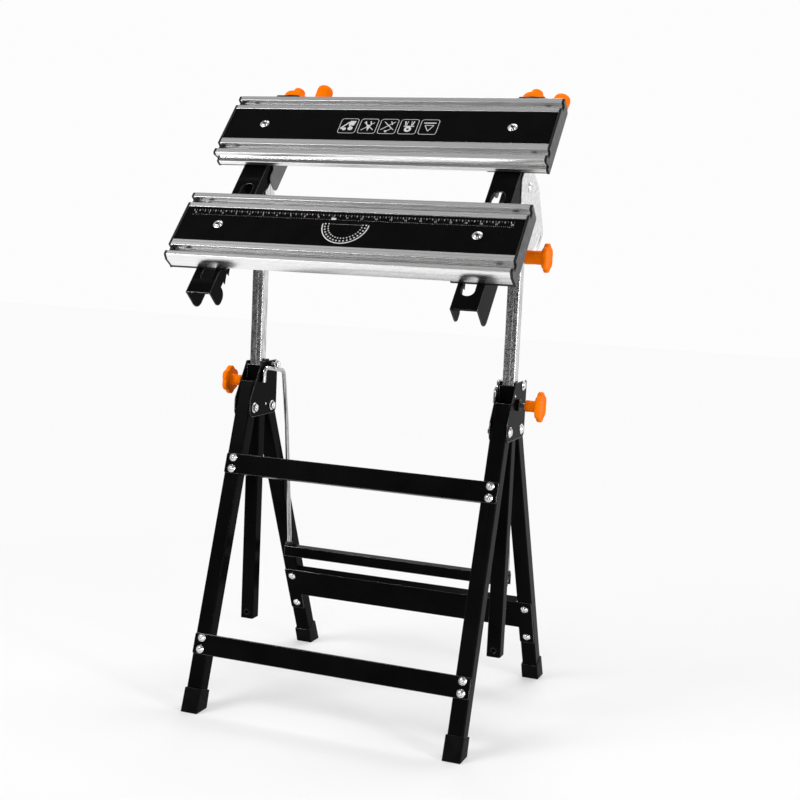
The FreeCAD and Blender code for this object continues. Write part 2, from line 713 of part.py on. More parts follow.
def add_beam(side):
    """A channel that opens downwards, with a toothed inner flange and rounded noses."""
    body = new_body("beam_" + side)
    rear = -size.beam_rear
    front = beam_front
    start, width = span(side, beam_inner, beam_outer)
    low = pivot_down_slope - front
    high = pivot_down_slope - rear
    prism(body, "XY_Plane", box_corners(start, start + width, low, high),
          beam_top - size.beam_wall, size.beam_wall)

    tip = front - size.nose_back / 2
    pivot = pivot_down_slope
    ear_foot = size.pivot_ear_half * 2
    outer = [(rear, beam_depth), (front, beam_depth),
             (tip, size.outer_flange_depth, size.nose_drop),
             (pivot + ear_foot, size.outer_flange_depth),
             (pivot + size.pivot_ear_half, size.pivot_ear_depth, size.nose_drop / 2),
             (pivot - size.pivot_ear_half, size.pivot_ear_depth, size.nose_drop / 2),
             (pivot - ear_foot, size.outer_flange_depth),
             (rear, size.outer_flange_depth, size.nose_drop)]
    start, width = span(side, beam_outer - size.beam_wall, beam_outer)
    slope_prism(body, outer, start, width)

    inner = [(rear, beam_depth), (front, beam_depth),
             (tip, size.inner_flange_depth + size.nose_depth, size.nose_radius),
             (nose_start, size.inner_flange_depth + size.nose_depth, size.nose_radius)]
    inner.append((nose_start, inner_root))
    for i in reversed(range(TOOTH_COUNT)):
        root = tooth_start + size.tooth_pitch * i
        crest = root + size.tooth_pitch * TOOTH_RAMP_SHARE
        inner.append((crest, inner_root))
        inner.append((crest, size.inner_flange_depth))
        inner.append((root, inner_root))
    inner.append((tooth_start - size.tooth_pitch, size.inner_flange_depth))
    inner.append((rear, size.inner_flange_depth, size.nose_drop))
    start, width = span(side, beam_inner, beam_inner + size.beam_wall)
    slope_prism(body, inner, start, width)

    beam_web_slot(body, side, slot_rear, slot_rear + size.slot_length)
    cross_hole(body, side, (0, 0), size.bolt_radius + size.turn_clearance,
               beam_outer - size.beam_wall - size.overrun, beam_outer + size.overrun)
    finish(body, "beam_" + side, TOP)


def arc_point(angle, radius):
    """A point below the pivot, turned towards the front by the angle."""
    return (-(radius * turn("sin", angle)), -(radius * turn("cos", angle)))


def add_tilt_plate(side):
    """The plate that the tilt knob clamps, with an arc slot about the pivot."""
    body = new_body("tilt_plate_" + side)
    reach = size.arc_radius + size.arc_width / 2 + size.tilt_plate_margin
    spread = size.tilt_angle + 2 * size.plate_end_angle
    bottom = [arc_point(-size.plate_end_angle + spread * share, reach) + (size.tilt_plate_margin,)
              for share in PLATE_ARC_SHARES]
    crown = beam_top - size.beam_wall - size.tilt_plate_margin
    corners = bottom + [(-reach / 2, 0, size.tilt_plate_margin),
                        (-size.plate_front, crown, size.tilt_plate_margin),
                        (size.plate_rear, crown, size.tilt_plate_margin),
                        (size.plate_shoulder, -size.plate_shoulder, size.tilt_plate_margin)]
    start, width = span(side, beam_outer, tilt_plate_face)
    prism(body, "YZ_Plane", corners, start, width)
    cross_hole(body, side, (0, 0), size.bolt_radius + size.turn_clearance,
               beam_outer - size.overrun, tilt_plate_face + size.overrun)
    sketch = add_sketch(body, "YZ_Plane", start - size.overrun)
    arc_slot(sketch)
    extrude(body, sketch, width + 2 * size.overrun, cut=True)
    finish(body, "tilt_plate_" + side, TOP)


def arc_slot(sketch):
    """A slot along an arc about the pivot, from the flat to the tilted screw place."""
    radius = size.arc_radius
    half = size.arc_width / 2
    normal = Vector(0, 0, 1)
    ends = [arc_point(0, radius), arc_point(size.tilt_angle, radius)]
    turns = [math.atan2(end[1].value, end[0].value) for end in ends]
    first, last = turns[1], turns[0]
    outer = Part.ArcOfCircle(Part.Circle(Vector(), normal, (radius + half).value), first, last)
    inner = Part.ArcOfCircle(Part.Circle(Vector(), normal, (radius - half).value), first, last)
    caps = []
    for end, angle in zip(ends, turns):
        centre = Vector(end[0].value, end[1].value, 0)
        opening = angle if angle == last else angle + math.pi
        caps.append(Part.ArcOfCircle(Part.Circle(centre, normal, half.value), opening,
                                     opening + math.pi))
    outer, inner, flat_cap, tilt_cap = [sketch.addGeometry(g) for g in (outer, inner, *caps)]
    for item in (outer, inner):
        sketch.addConstraint(Sketcher.Constraint("Coincident", item, 3, -1, 1))
    hold(sketch, flat_cap, 3, ends[0])
    across = Sketcher.Constraint("DistanceX", -1, 1, tilt_cap, 3, ends[1][0].value)
    bind(sketch, across, ends[1][0])
    bind(sketch, Sketcher.Constraint("Radius", flat_cap, half.value), half)
    for one, one_end, two, two_end in ((outer, 2, flat_cap, 1), (flat_cap, 2, inner, 2),
                                       (inner, 1, tilt_cap, 1), (tilt_cap, 2, outer, 1)):
        sketch.addConstraint(Sketcher.Constraint("Tangent", one, one_end, two, two_end))


add_lock_bail()
add_posts()
for side in SIDES:
    add_beam(side)
    add_tilt_plate(side)


def rail_groove(groove_start):
    """The undercut slot in the top of a rail, walked towards the front."""
    groove_end = groove_start + size.groove_width
    undercut_start = groove_start - size.groove_undercut
    undercut_end = groove_end + size.groove_undercut
    return [(groove_start, 0), (groove_start, size.lip_height), (undercut_start, size.lip_height),
            (undercut_start, size.groove_depth), (undercut_end, size.groove_depth),
            (undercut_end, size.lip_height), (groove_end, size.lip_height), (groove_end, 0)]


def rear_rail_outline():
    return [(0, 0), *rail_groove(size.rear_lip), (size.rear_rail_width, 0),
            (size.rear_rail_width, size.rail_height), (0, size.rail_height)]


def front_face(notched):
    """The front face of a jaw from its top edge down to the base."""
    width = size.jaw_width
    if notched:
        return [(width - size.base_inset, 0), (width, size.notch_rise),
                (width - size.notch_depth, size.notch_height),
                (width, size.notch_height + size.notch_step), (width, size.rail_height)]
    return [(width - size.front_bevel_top, 0), (width, size.front_bevel_middle),
            (width - size.front_bevel_bottom, size.rail_height)]


def front_rail_outline(notched):
    start = size.jaw_width - size.front_rail_width
    groove = size.jaw_width - size.front_lip - size.groove_width
    return [(start, 0), *rail_groove(groove), *front_face(notched), (start, size.rail_height)]


def cap_outline(notched, height):
    """The end cap closes the section and repeats its two grooves as plain notches."""
    grooves = []
    for groove in (size.rear_lip, size.jaw_width - size.front_lip - size.groove_width):
        far = groove + size.groove_width
        grooves += [(groove, 0), (groove, size.lip_height), (far, size.lip_height), (far, 0)]
    return [(0, 0, size.base_inset), *grooves, *front_face(notched),
            (size.jaw_width - size.base_inset, height, size.base_inset),
            (size.base_inset, height, size.base_inset), (0, size.rail_height)]


def moved(corners, along):
    return [(c[0] + along,) + tuple(c[1:]) for c in corners]


def jaw_bolt(name, side, middle, bottom_depth, plate_depth):
    """A panel screw with its washer, and the clamp plate under the beam if it has one."""
    body = new_body(name)
    centre = (SIDES[side] * slot_centre, pivot_down_slope - middle)
    seat = size.pivot_depth - size.panel_recess
    bottom = size.pivot_depth - bottom_depth
    disc(body, "XY_Plane", centre, size.bolt_radius, bottom, seat - bottom)
    disc(body, "XY_Plane", centre, size.washer_radius, seat, size.washer_height)
    disc(body, "XY_Plane", centre, size.panel_screw_radius, seat + size.washer_height,
         size.panel_screw_height)
    if plate_depth is not None:
        top = size.pivot_depth - plate_depth
        disc(body, "XY_Plane", centre, size.clamp_plate_radius, top - size.plate_wall,
             size.plate_wall)
    return body


def add_jaw(label, start, notched, base_height):
    """One vice jaw: two rails, a panel and a base between two end caps."""
    half = size.jaw_length / 2 - size.cap_wall
    run = 2 * half
    height = size.rail_height + base_height
    rail_end = size.jaw_width - size.front_rail_width
    sections = {
        "rear_rail": rear_rail_outline(),
        "front_rail": front_rail_outline(notched),
        "panel": box_corners(size.rear_rail_width, rail_end, size.panel_recess,
                             size.rail_height),
    }
    underside = box_corners(size.base_inset, size.jaw_width - 2 * size.base_inset,
                            size.rail_height, height)
    middle = start + (size.rear_rail_width + rail_end) / 2
    for piece, corners in sections.items():
        body = new_body(f"{label}_{piece}")
        slope_prism(body, moved(corners, start), -half, run)
        if piece == "panel":
            for side in SIDES:
                bolt_hole(body, side, middle, height)
        finish(body, f"{label}_{piece}", TOP)
    bases = []
    caps = []
    for side in SIDES:
        base = new_body(f"{label}_base_{side}")
        base_start, reach = span(side, beam_inner - size.base_reach, half)
        slope_prism(base, moved(underside, start), base_start, reach)
        bolt_hole(base, side, middle, height)
        bases.append(base)
        cap = new_body(f"{label}_cap_{side}")
        cap_start, wall = span(side, half, size.jaw_length / 2)
        slope_prism(cap, moved(cap_outline(notched, height), start), cap_start, wall)
        caps.append(cap)
    gather(f"{label}_base", bases, TOP)
    gather(f"{label}_end_caps", caps, TOP)

    web_under = beam_depth + size.beam_wall
    if notched:
        bottom, plate = height, None
    else:
        bottom, plate = web_under + size.plate_wall + size.nut_height / 2, web_under
    bolts = [jaw_bolt(f"{label}_bolt_{side}", side, middle, bottom, plate) for side in SIDES]
    gather(f"{label}_bolts", bolts, TOP)


def bolt_hole(body, side, middle, height):
    centre = (SIDES[side] * slot_centre, pivot_down_slope - middle)
    disc(body, "XY_Plane", centre, size.bolt_radius, size.pivot_depth - height - size.overrun,
         height + 2 * size.overrun, cut=True)


def add_carriage(side):
    """The screw's nut block in the beam, and the bridge from it to the rear jaw's side tongue."""
    body = new_body("carriage_block_" + side)
    top = size.pivot_depth - beam_depth - size.beam_wall - size.face_clearance
    low = size.pivot_depth - size.carriage_bottom
    start, width = span(side, slot_centre - size.carriage_half,
                        slot_centre + size.carriage_half)
    prism(body, "XY_Plane",
          box_corners(start, start + width, pivot_down_slope - size.carriage_front,
                      pivot_down_slope - size.carriage_rear, size.leg_corner),
          low, top - low)
    slope_disc(body, SIDES[side] * slot_centre, size.screw_depth,
               size.screw_radius + size.turn_clearance, size.carriage_rear - size.overrun,
               size.carriage_front + size.overrun, cut=True)
    bridge = new_body("carriage_bridge_" + side)
    start, width = span(side, beam_inner - size.tongue_clearance, slot_centre)
    slope_prism(bridge, box_corners(size.tongue_rear, size.carriage_front, size.carriage_bottom,
                                    size.carriage_bottom + size.bridge_wall), start, width)
    gather("carriage_" + side, [body, bridge], TOP)


def side_pawl(side):
    """The grey tongue that hangs from the rear jaw beside the beam."""
    body = new_body("side_pawl_" + side)
    outer = beam_inner - size.tongue_clearance
    start, width = span(side, outer - size.tongue_wall, outer)
    shoulder = size.tongue_tip - 2 * size.tongue_corner
    corners = [(size.tongue_rear, jaw_height), (shoulder - size.tongue_corner, jaw_height),
               (shoulder, size.tongue_top), (size.tongue_tip, size.tongue_top, size.tongue_corner),
               (size.tongue_tip, size.tongue_bottom, size.tongue_corner),
               (size.tongue_rear, size.tongue_bottom, size.tongue_corner)]
    slope_prism(body, corners, start, width)
    return body


def screw_bearing(side):
    """The plate across the rear end of a beam that the clamp screw turns in."""
    body = new_body("screw_bearing_" + side)
    start, width = span(side, beam_inner + size.beam_wall, beam_outer - size.beam_wall)
    top = beam_top - size.beam_wall
    low = size.pivot_depth - size.bearing_depth
    prism(body, "XZ_Plane", box_corners(start, start + width, low, top),
          -size.beam_rear - pivot_down_slope, size.bearing_wall)
    slope_disc(body, SIDES[side] * slot_centre, size.screw_depth,
               size.screw_radius + size.turn_clearance, -size.beam_rear - size.overrun,
               -size.beam_rear + size.bearing_wall + size.overrun, cut=True)
    return body


def add_crank(side, dip):
    """The screw, the crank arm on its rear end and the barrel knob on the arm."""
    across = SIDES[side] * slot_centre
    hub_front = -size.beam_rear - size.crank_gap
    hub_rear = hub_front - size.hub_length

    screw = new_body("clamp_screw_" + side)
    slope_disc(screw, across, size.screw_depth, size.screw_radius, hub_front, screw_end)
    finish(screw, "clamp_screw_" + side, TOP)

    crank = new_body("crank_" + side)
    slope_disc(crank, across, size.screw_depth, size.hub_radius, hub_rear, hub_front)
    slope_disc(crank, across, size.screw_depth, size.dome_radius, hub_rear - size.dome_length,
               hub_rear)
    height = size.pivot_depth - size.screw_depth
    half = size.arm_width / 2
    reach_x = turn("cos", dip)
    reach_z = -turn("sin", dip)
    round_end = size.arm_width * SLOT_ROUND_SHARE

    def arm_corner(reach, offset):
        return (across + reach * reach_x - offset * reach_z,
                height + reach * reach_z + offset * reach_x)

    end = size.arm_reach + half
    corners = [arm_corner(0, -half), arm_corner(end, -half) + (round_end,),
               arm_corner(end, half) + (round_end,), arm_corner(0, half)]
    arm_rear = hub_front - size.arm_wall
    prism(crank, "XZ_Plane", corners, arm_rear - pivot_down_slope, size.arm_wall)
    knob_x, knob_z = arm_corner(size.arm_reach, 0)
    knob_depth = size.pivot_depth - knob_z
    knob_front = arm_rear - size.face_clearance
    knob_rear = knob_front - size.crank_knob_length
    slope_disc(crank, knob_x, knob_depth, size.crank_pin_radius, knob_rear, arm_rear)
    finish(crank, "crank_" + side, TOP)

    knob = new_body("crank_knob_" + side)
    slope_disc(knob, knob_x, knob_depth, size.crank_knob_radius, knob_rear, knob_front)
    slope_disc(knob, knob_x, knob_depth, size.crank_pin_radius + size.turn_clearance,
               knob_rear - size.overrun, knob_front + size.overrun, cut=True)
    finish(knob, "crank_knob_" + side, TOP)


def add_knob(name, side, level, screw_inner, hub_start, hub, head):
    """A lobed knob along X, with its screw as a separate solid."""
    body = new_body(name + "_head")
    hub_radius, hub_length = hub
    head_radius, head_length = head
    hub_end = hub_start + hub_length
    start, run = span(side, hub_start, hub_end)
    disc(body, "YZ_Plane", (0, level), hub_radius, start, run)
    start, run = span(side, hub_end, hub_end + head_length)
    ring = head_radius - size.lobe_radius
    disc(body, "YZ_Plane", (0, level), ring + size.lobe_radius * LOBE_CORE_SHARE, start, run)
    for i in range(LOBES):
        angle = 360 / LOBES * (i + 0.5)
        centre = (ring * turn("cos", angle), level + ring * turn("sin", angle))
        disc(body, "YZ_Plane", centre, size.lobe_radius, start, run)
    start, run = span(side, screw_inner, hub_start)
    screw = cylinder(name + "_screw", start, (0, level), size.knob_screw_radius, run)
    gather(name, [body, screw])


add_jaw("front_jaw", front_jaw_start, False, size.base_height + size.face_clearance)
add_jaw("rear_jaw", length(0), True, size.base_height)
for side in SIDES:
    add_carriage(side)
gather("side_pawls", [side_pawl(side) for side in SIDES], TOP)
gather("screw_bearings", [screw_bearing(side) for side in SIDES], TOP)
add_crank("left", size.left_arm_dip)
add_crank("right", size.right_arm_dip)
for side in SIDES:
    add_knob("height_knob_" + side, side, height_knob_level,
             stand_spread + post_half + size.face_clearance, height_hub_start,
             (size.height_hub_radius, size.height_hub_length),
             (size.height_knob_radius, size.height_knob_length))
    add_knob("tilt_knob_" + side, side, pivot_height - size.arc_radius,
             stand_spread + post_half - size.post_wall,
             tilt_plate_face + size.face_clearance,
             (size.tilt_hub_radius, size.tilt_hub_length),
             (size.tilt_knob_radius, size.tilt_knob_length))


# Every object has to be sound before any file is written
doc.recompute()
for item in doc.Objects:
    if "Invalid" in item.State or "Error" in item.State:
        raise RuntimeError(f"{item.Label} failed: {item.State}")
for item in doc.Objects:
    if item.TypeId == "PartDesign::Pocket":
        before = item.BaseFeature.Shape.Volume
        if item.Shape.Volume >= before:
            raise RuntimeError(f"{item.Name} cuts nothing")
for item in nodes:
    if item.Shape.isNull() or not item.Shape.isValid():
        raise RuntimeError(f"{item.Label} has no valid shape")

os.makedirs("parts", exist_ok=True)
for item in nodes:
    item.Shape.exportStep(f"parts/{item.Label}.step")
print(len(nodes), "sub-parts written")
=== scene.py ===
"""Looks of the folding workbench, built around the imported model. Metres, in the model's frame."""
import json
import math

import bmesh
import bpy
from mathutils import Matrix, Vector


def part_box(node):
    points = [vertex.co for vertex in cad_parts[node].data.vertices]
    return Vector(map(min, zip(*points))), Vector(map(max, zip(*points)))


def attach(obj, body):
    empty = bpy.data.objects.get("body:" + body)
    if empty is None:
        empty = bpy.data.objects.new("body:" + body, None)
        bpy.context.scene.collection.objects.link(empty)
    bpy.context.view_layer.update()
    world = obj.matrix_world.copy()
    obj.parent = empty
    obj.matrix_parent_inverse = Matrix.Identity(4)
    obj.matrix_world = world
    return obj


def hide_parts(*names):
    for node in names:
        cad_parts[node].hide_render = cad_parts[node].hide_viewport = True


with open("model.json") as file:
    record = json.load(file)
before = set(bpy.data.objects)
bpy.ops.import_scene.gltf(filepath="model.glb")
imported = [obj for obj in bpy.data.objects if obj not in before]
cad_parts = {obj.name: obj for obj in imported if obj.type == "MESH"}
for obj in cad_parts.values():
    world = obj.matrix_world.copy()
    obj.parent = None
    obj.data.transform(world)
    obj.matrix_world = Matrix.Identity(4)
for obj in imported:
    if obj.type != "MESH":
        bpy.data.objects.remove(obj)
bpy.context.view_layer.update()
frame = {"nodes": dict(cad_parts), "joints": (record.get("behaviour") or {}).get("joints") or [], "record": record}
nodes = frame["nodes"]

MM = 0.001
SIDES = {"left": -1, "right": 1}
JOINTS = {joint["name"]: joint for joint in frame["joints"]}


def box_centre(node):
    low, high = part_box(node)
    return (low + high) / 2


# Places read from the frame
STAND_Y = box_centre("centre_tube_left").y
TILT_PIVOT = Vector(JOINTS["top_tilt"]["pos_m"])
DOWN_SLOPE = Vector(JOINTS["jaw_slide"]["axis"]).normalized()
ACROSS = Vector((1, 0, 0))
UPWARD = Vector((0, 0, 1))
JAW_UP = ACROSS.cross(-DOWN_SLOPE).normalized()


# Shader helpers

class Tree:
    """Adds linked nodes to one node tree."""

    COLOUR_ONE, COLOUR_TWO, COLOUR_OUT = 6, 7, 2

    def __init__(self, tree):
        self.tree = tree

    def add(self, kind, settings=None, **inputs):
        node = self.tree.nodes.new(kind)
        for key, value in (settings or {}).items():
            setattr(node, key, value)
        for key, value in inputs.items():
            self.put(node.inputs[key.replace("_", " ")], value)
        return node

    def put(self, socket, value):
        if isinstance(value, bpy.types.NodeSocket):
            self.tree.links.new(value, socket)
        else:
            socket.default_value = value

    def ramp(self, value, stops):
        """Maps a value to a colour through (place, colour) stops."""
        node = self.add("ShaderNodeValToRGB", Fac=value)
        elements = node.color_ramp.elements
        for index, (place, colour) in enumerate(stops):
            element = elements[index] if index < 2 else elements.new(place)
            element.position = place
            element.color = (*colour, 1)
        return node.outputs["Color"]

    def span(self, value, low, high, start=0.0, end=1.0):
        """Maps a value from start..end to low..high."""
        node = self.add("ShaderNodeMapRange", Value=value)
        for name, number in (("From Min", start), ("From Max", end), ("To Min", low),
                             ("To Max", high)):
            node.inputs[name].default_value = number
        return node.outputs["Result"]

    def blend(self, factor, one, two):
        node = self.add("ShaderNodeMix", {"data_type": "RGBA"})
        self.put(node.inputs["Factor"], factor)
        self.put(node.inputs[self.COLOUR_ONE], one)
        self.put(node.inputs[self.COLOUR_TWO], two)
        return node.outputs[self.COLOUR_OUT]

    def maths(self, operation, one, two):
        node = self.add("ShaderNodeMath", {"operation": operation})
        self.put(node.inputs[0], one)
        self.put(node.inputs[1], two)
        return node.outputs["Value"]

    def mix_shaders(self, factor, one, two):
        node = self.add("ShaderNodeMixShader", Fac=factor)
        self.put(node.inputs[1], one)
        self.put(node.inputs[2], two)
        return node.outputs["Shader"]


class Shader(Tree):
    """Adds linked nodes to one material, around its principled shader."""

    EDGE_WIDTH = 0.0013
    BEVEL_SAMPLES = 6

    def __init__(self, name):
        self.material = bpy.data.materials.new(name)
        self.material.use_nodes = True
        super().__init__(self.material.node_tree)
        self.main = self.tree.nodes["Principled BSDF"]

    def set(self, **inputs):
        for key, value in inputs.items():
            self.put(self.main.inputs[key.replace("_", " ")], value)

    def position(self, scale=(1, 1, 1)):
        """Object coordinates, stretched by the scale."""
        coordinates = self.add("ShaderNodeTexCoord")
        mapping = self.add("ShaderNodeMapping", Vector=coordinates.outputs["Object"])
        mapping.inputs["Scale"].default_value = scale
        return mapping.outputs["Vector"]

    def noise(self, scale, detail=3, roughness=0.5, stretch=(1, 1, 1)):
        node = self.add("ShaderNodeTexNoise", Vector=self.position(stretch), Scale=scale,
                        Detail=detail, Roughness=roughness)
        return node.outputs["Fac"]

    def rounded(self, radius):
        """The surface's direction as if its edges were rounded."""
        node = self.add("ShaderNodeBevel", {"samples": self.BEVEL_SAMPLES}, Radius=radius)
        return node.outputs["Normal"]

    def edges(self, width=EDGE_WIDTH):
        """High in a narrow band along sharp edges."""
        geometry = self.add("ShaderNodeNewGeometry")
        likeness = self.add("ShaderNodeVectorMath", {"operation": "DOT_PRODUCT"})
        self.put(likeness.inputs[0], self.rounded(width))
        self.put(likeness.inputs[1], geometry.outputs["Normal"])
        return self.span(likeness.outputs["Value"], 0, 1, 0.99, 0.90)

    def edge_wear(self):
        """High along sharp edges, broken up by noise: a mask for rubbed edges and for painted highlights along
        edges.
        """
        return self.maths("MULTIPLY", self.edges(),
                          self.span(self.noise(160, 4), 0, 1, 0.42, 0.62))

    def bump(self, height, strength, distance, rounding=0.0):
        """Fine relief, over edges that catch the light as if rounded."""
        node = self.add("ShaderNodeBump", Height=height, Strength=strength, Distance=distance)
        if rounding:
            self.put(node.inputs["Normal"], self.rounded(rounding))
        self.set(Normal=node.outputs["Normal"])


def grey(level):
    return (level, level, level)


def rgba(colour):
    return (*colour, 1)


def black_paint():
    """Glossy powder coat with a faint orange peel, and lighter edges that are partly rubbed paint and partly a
    painted highlight.
    """
    shader = Shader("black_paint")
    base = shader.ramp(shader.noise(14, 4), [(0.3, grey(0.0020)), (0.7, grey(0.0036))])
    # Grey along the edges: partly rubbed paint, partly a painted highlight.
    shader.set(Base_Color=shader.blend(shader.edge_wear(), base, rgba(grey(0.08))))
    shader.set(Roughness=shader.span(shader.noise(30, 3), 0.16, 0.21, 0.3, 0.7))
    bright_edge = 0.002
    shader.set(IOR=shader.span(shader.edges(bright_edge), 1.06, 2.4))
    shader.bump(shader.noise(700, 2), 0.03, 0.0003, bright_edge)
    return shader.material


def black_plastic():
    """Moulded plastic with a fine grain."""
    shader = Shader("black_plastic")
    base = shader.ramp(shader.noise(60, 4), [(0.3, grey(0.0030)), (0.75, grey(0.006))])
    shader.set(Base_Color=shader.blend(shader.edge_wear(), base, rgba(grey(0.06))))
    shader.set(Roughness=shader.span(shader.noise(90, 4), 0.30, 0.42, 0.3, 0.7))
    shader.set(IOR=1.45)
    shader.bump(shader.noise(2600, 2), 0.12, 0.0003)
    return shader.material


def black_rubber():
    """Dull black rubber of the feet, with a fine grain."""
    shader = Shader("black_rubber")
    base = shader.ramp(shader.noise(60, 4), [(0.3, grey(0.0028)), (0.75, grey(0.0055))])
    shader.set(Base_Color=shader.blend(shader.edge_wear(), base, rgba(grey(0.04))))
    shader.set(Roughness=shader.span(shader.noise(90, 4), 0.36, 0.48, 0.3, 0.7))
    shader.set(IOR=shader.span(shader.edges(), 1.08, 1.5))
    shader.bump(shader.noise(2600, 2), 0.10, 0.0003)
    return shader.material


def bright_steel():
    """Bright zinc plate with faint cloudiness."""
    shader = Shader("bright_steel")
    base = shader.ramp(shader.noise(120, 4), [(0.3, (0.62, 0.63, 0.64)), (0.7, grey(0.86))])
    shader.set(Base_Color=base, Metallic=1.0)
    shader.set(Roughness=shader.span(shader.noise(300, 3), 0.10, 0.24, 0.3, 0.7))
    shader.bump(shader.noise(700, 3), 0.06, 0.0003)
    return shader.material


def rod_steel():
    """Zinc plated round bar, darker than the bolts, with long draw lines."""
    shader = Shader("rod_steel")
    lines = shader.noise(420, 3, 0.6, (1, 1, 0.05))
    base = shader.ramp(lines, [(0.3, (0.36, 0.37, 0.38)), (0.7, (0.58, 0.58, 0.59))])
    shader.set(Base_Color=base, Metallic=1.0)
    shader.set(Roughness=shader.span(shader.noise(300, 3), 0.10, 0.18, 0.3, 0.7))
    shader.bump(lines, 0.05, 0.0003)
    return shader.material


def galvanised():
    """Hot dipped zinc: crystals, dark pits and streaks down the tube."""
    shader = Shader("galvanised")
    cells = shader.add("ShaderNodeTexVoronoi", Vector=shader.position((1, 1, 0.45)), Scale=210)
    crystal = shader.ramp(cells.outputs["Distance"], [(0.0, grey(0.36)), (0.55, grey(0.58)),
                                                      (0.9, grey(0.85))])
    streak = shader.noise(130, 5, 0.65, (1, 1, 0.16))
    streaks = shader.ramp(streak, [(0.36, grey(0.26)), (0.50, grey(0.60)), (0.66, grey(0.92))])
    shader.set(Base_Color=shader.blend(0.62, crystal, streaks), Metallic=1.0)
    shader.set(Roughness=shader.span(shader.noise(220, 4), 0.18, 0.34, 0.3, 0.7))
    shader.bump(streak, 0.12, 0.0006)
    return shader.material


def zinc_sheet():
    """Bright galvanised sheet, paler and flatter than the tube."""
    shader = Shader("zinc_sheet")
    cells = shader.add("ShaderNodeTexVoronoi", Vector=shader.position(), Scale=150)
    base = shader.ramp(cells.outputs["Distance"], [(0.1, grey(0.62)), (0.8, grey(0.84))])
    shader.set(Base_Color=base, Metallic=0.85)
    shader.set(Roughness=shader.span(shader.noise(240, 4), 0.30, 0.45, 0.3, 0.7))
    shader.bump(shader.noise(500, 3), 0.10, 0.0004)
    return shader.material


def grey_steel():
    """Dull zinc plated plate with directional rubbing."""
    shader = Shader("grey_steel")
    rub = shader.noise(240, 4, 0.6, (1, 0.15, 0.15))
    base = shader.ramp(rub, [(0.3, grey(0.085)), (0.7, grey(0.15))])
    shader.set(Base_Color=base, Metallic=0.6)
    shader.set(Roughness=shader.span(rub, 0.34, 0.50, 0.3, 0.7))
    shader.bump(rub, 0.08, 0.0004)
    return shader.material


def aluminium_rail():
    """Extruded aluminium with fine draw lines along its length."""
    shader = Shader("aluminium_rail")
    lines = shader.noise(430, 3, 0.6, (0.001, 1, 1))
    broad = shader.noise(160, 3, 0.5, (0.02, 1, 1))
    tone = shader.ramp(broad, [(0.3, grey(0.90)), (0.7, grey(0.97))])
    fine = shader.ramp(lines, [(0.35, grey(0.66)), (0.5, grey(0.93)), (0.7, grey(0.98))])
    shader.set(Base_Color=shader.blend(0.5, tone, fine), Metallic=1.0)
    shader.set(Roughness=shader.span(lines, 0.22, 0.32, 0.3, 0.7))
    shader.bump(lines, 0.02, 0.0003)
    return shader.material


def black_panel():
    """Satin black laminate with a fine leathery grain and light scuffs."""
    shader = Shader("black_panel")
    base = shader.ramp(shader.noise(25, 4), [(0.3, grey(0.0014)), (0.75, grey(0.0026))])
    scuff = shader.span(shader.noise(70, 6, 0.7, (0.35, 1, 1)), 0, 0.015, 0.66, 0.80)
    shader.set(Base_Color=shader.blend(scuff, base, rgba(grey(0.2))))
    shader.set(Roughness=shader.span(shader.noise(60, 3), 0.26, 0.32, 0.3, 0.7))
    shader.set(IOR=1.12)
    shader.bump(shader.noise(3000, 2), 0.03, 0.0002)
    return shader.material


def orange_plastic():
    """Glossy moulded plastic, with a paler yellowish orange along its edges that is a painted highlight."""
    shader = Shader("orange_plastic")
    base = shader.ramp(shader.noise(40, 4), [(0.3, (0.89, 0.160, 0.0008)),
                                             (0.7, (0.95, 0.195, 0.0012))])
    # Paler yellowish orange along the edges is a painted highlight.
    shader.set(Base_Color=shader.blend(shader.edge_wear(), base, rgba((1.0, 0.42, 0.02))))
    shader.set(Roughness=shader.span(shader.noise(80, 4), 0.26, 0.38, 0.3, 0.7))
    shader.set(IOR=shader.span(shader.edges(), 1.07, 1.45))
    shader.bump(shader.noise(1200, 2), 0.04, 0.0003)
    return shader.material


def white_print():
    """Screen printed white ink, a little uneven."""
    shader = Shader("white_print")
    base = shader.ramp(shader.noise(900, 4), [(0.3, grey(0.38)), (0.6, grey(0.62))])
    shader.set(Base_Color=base, Roughness=shader.span(shader.noise(400, 3), 0.5, 0.7))
    shader.bump(shader.noise(2500, 2), 0.1, 0.0001)
    return shader.material


LOOKS = {make.__name__: make() for make in (black_paint, black_plastic, bright_steel, galvanised,
                                            grey_steel, aluminium_rail, black_panel,
                                            orange_plastic)}
ROD = rod_steel()
OWN_LOOKS = {"tilt_plate": zinc_sheet(), "_foot_": black_rubber(), "lock_rod_left": ROD,
             "lock_rod_right": ROD}
PRINT = white_print()


# Dressing of the model's own pieces

WELD_GAP = 0.02 * MM
FLAT_ANGLE = math.radians(0.6)
BEND_ANGLE = math.radians(32)


def dress(name, look, width):
    """Joins the faces, rounds the edges and gives the piece its finish."""
    piece = nodes[name]
    mesh = piece.data
    custom = mesh.attributes.get("custom_normal")
    if custom:
        mesh.attributes.remove(custom)
    mesh.materials.clear()
    mesh.materials.append(look)
    mesh.polygons.foreach_set("material_index", [0] * len(mesh.polygons))
    mesh.polygons.foreach_set("use_smooth", [True] * len(mesh.polygons))
    weld = piece.modifiers.new("weld", "WELD")
    weld.merge_threshold = WELD_GAP
    flat = piece.modifiers.new("flat", "DECIMATE")
    flat.decimate_type = "DISSOLVE"
    flat.angle_limit = FLAT_ANGLE
    soften(piece, width)


def soften(piece, width):
    """Rounds the edges of a piece by the width."""
    bevel = piece.modifiers.new("bevel", "BEVEL")
    bevel.width = width
    bevel.segments = 2
    bevel.limit_method = "ANGLE"
    bevel.angle_limit = BEND_ANGLE
    bevel.use_clamp_overlap = False
    bevel.miter_outer = "MITER_ARC"
    normal = piece.modifiers.new("normal", "WEIGHTED_NORMAL")
    normal.keep_sharp = True


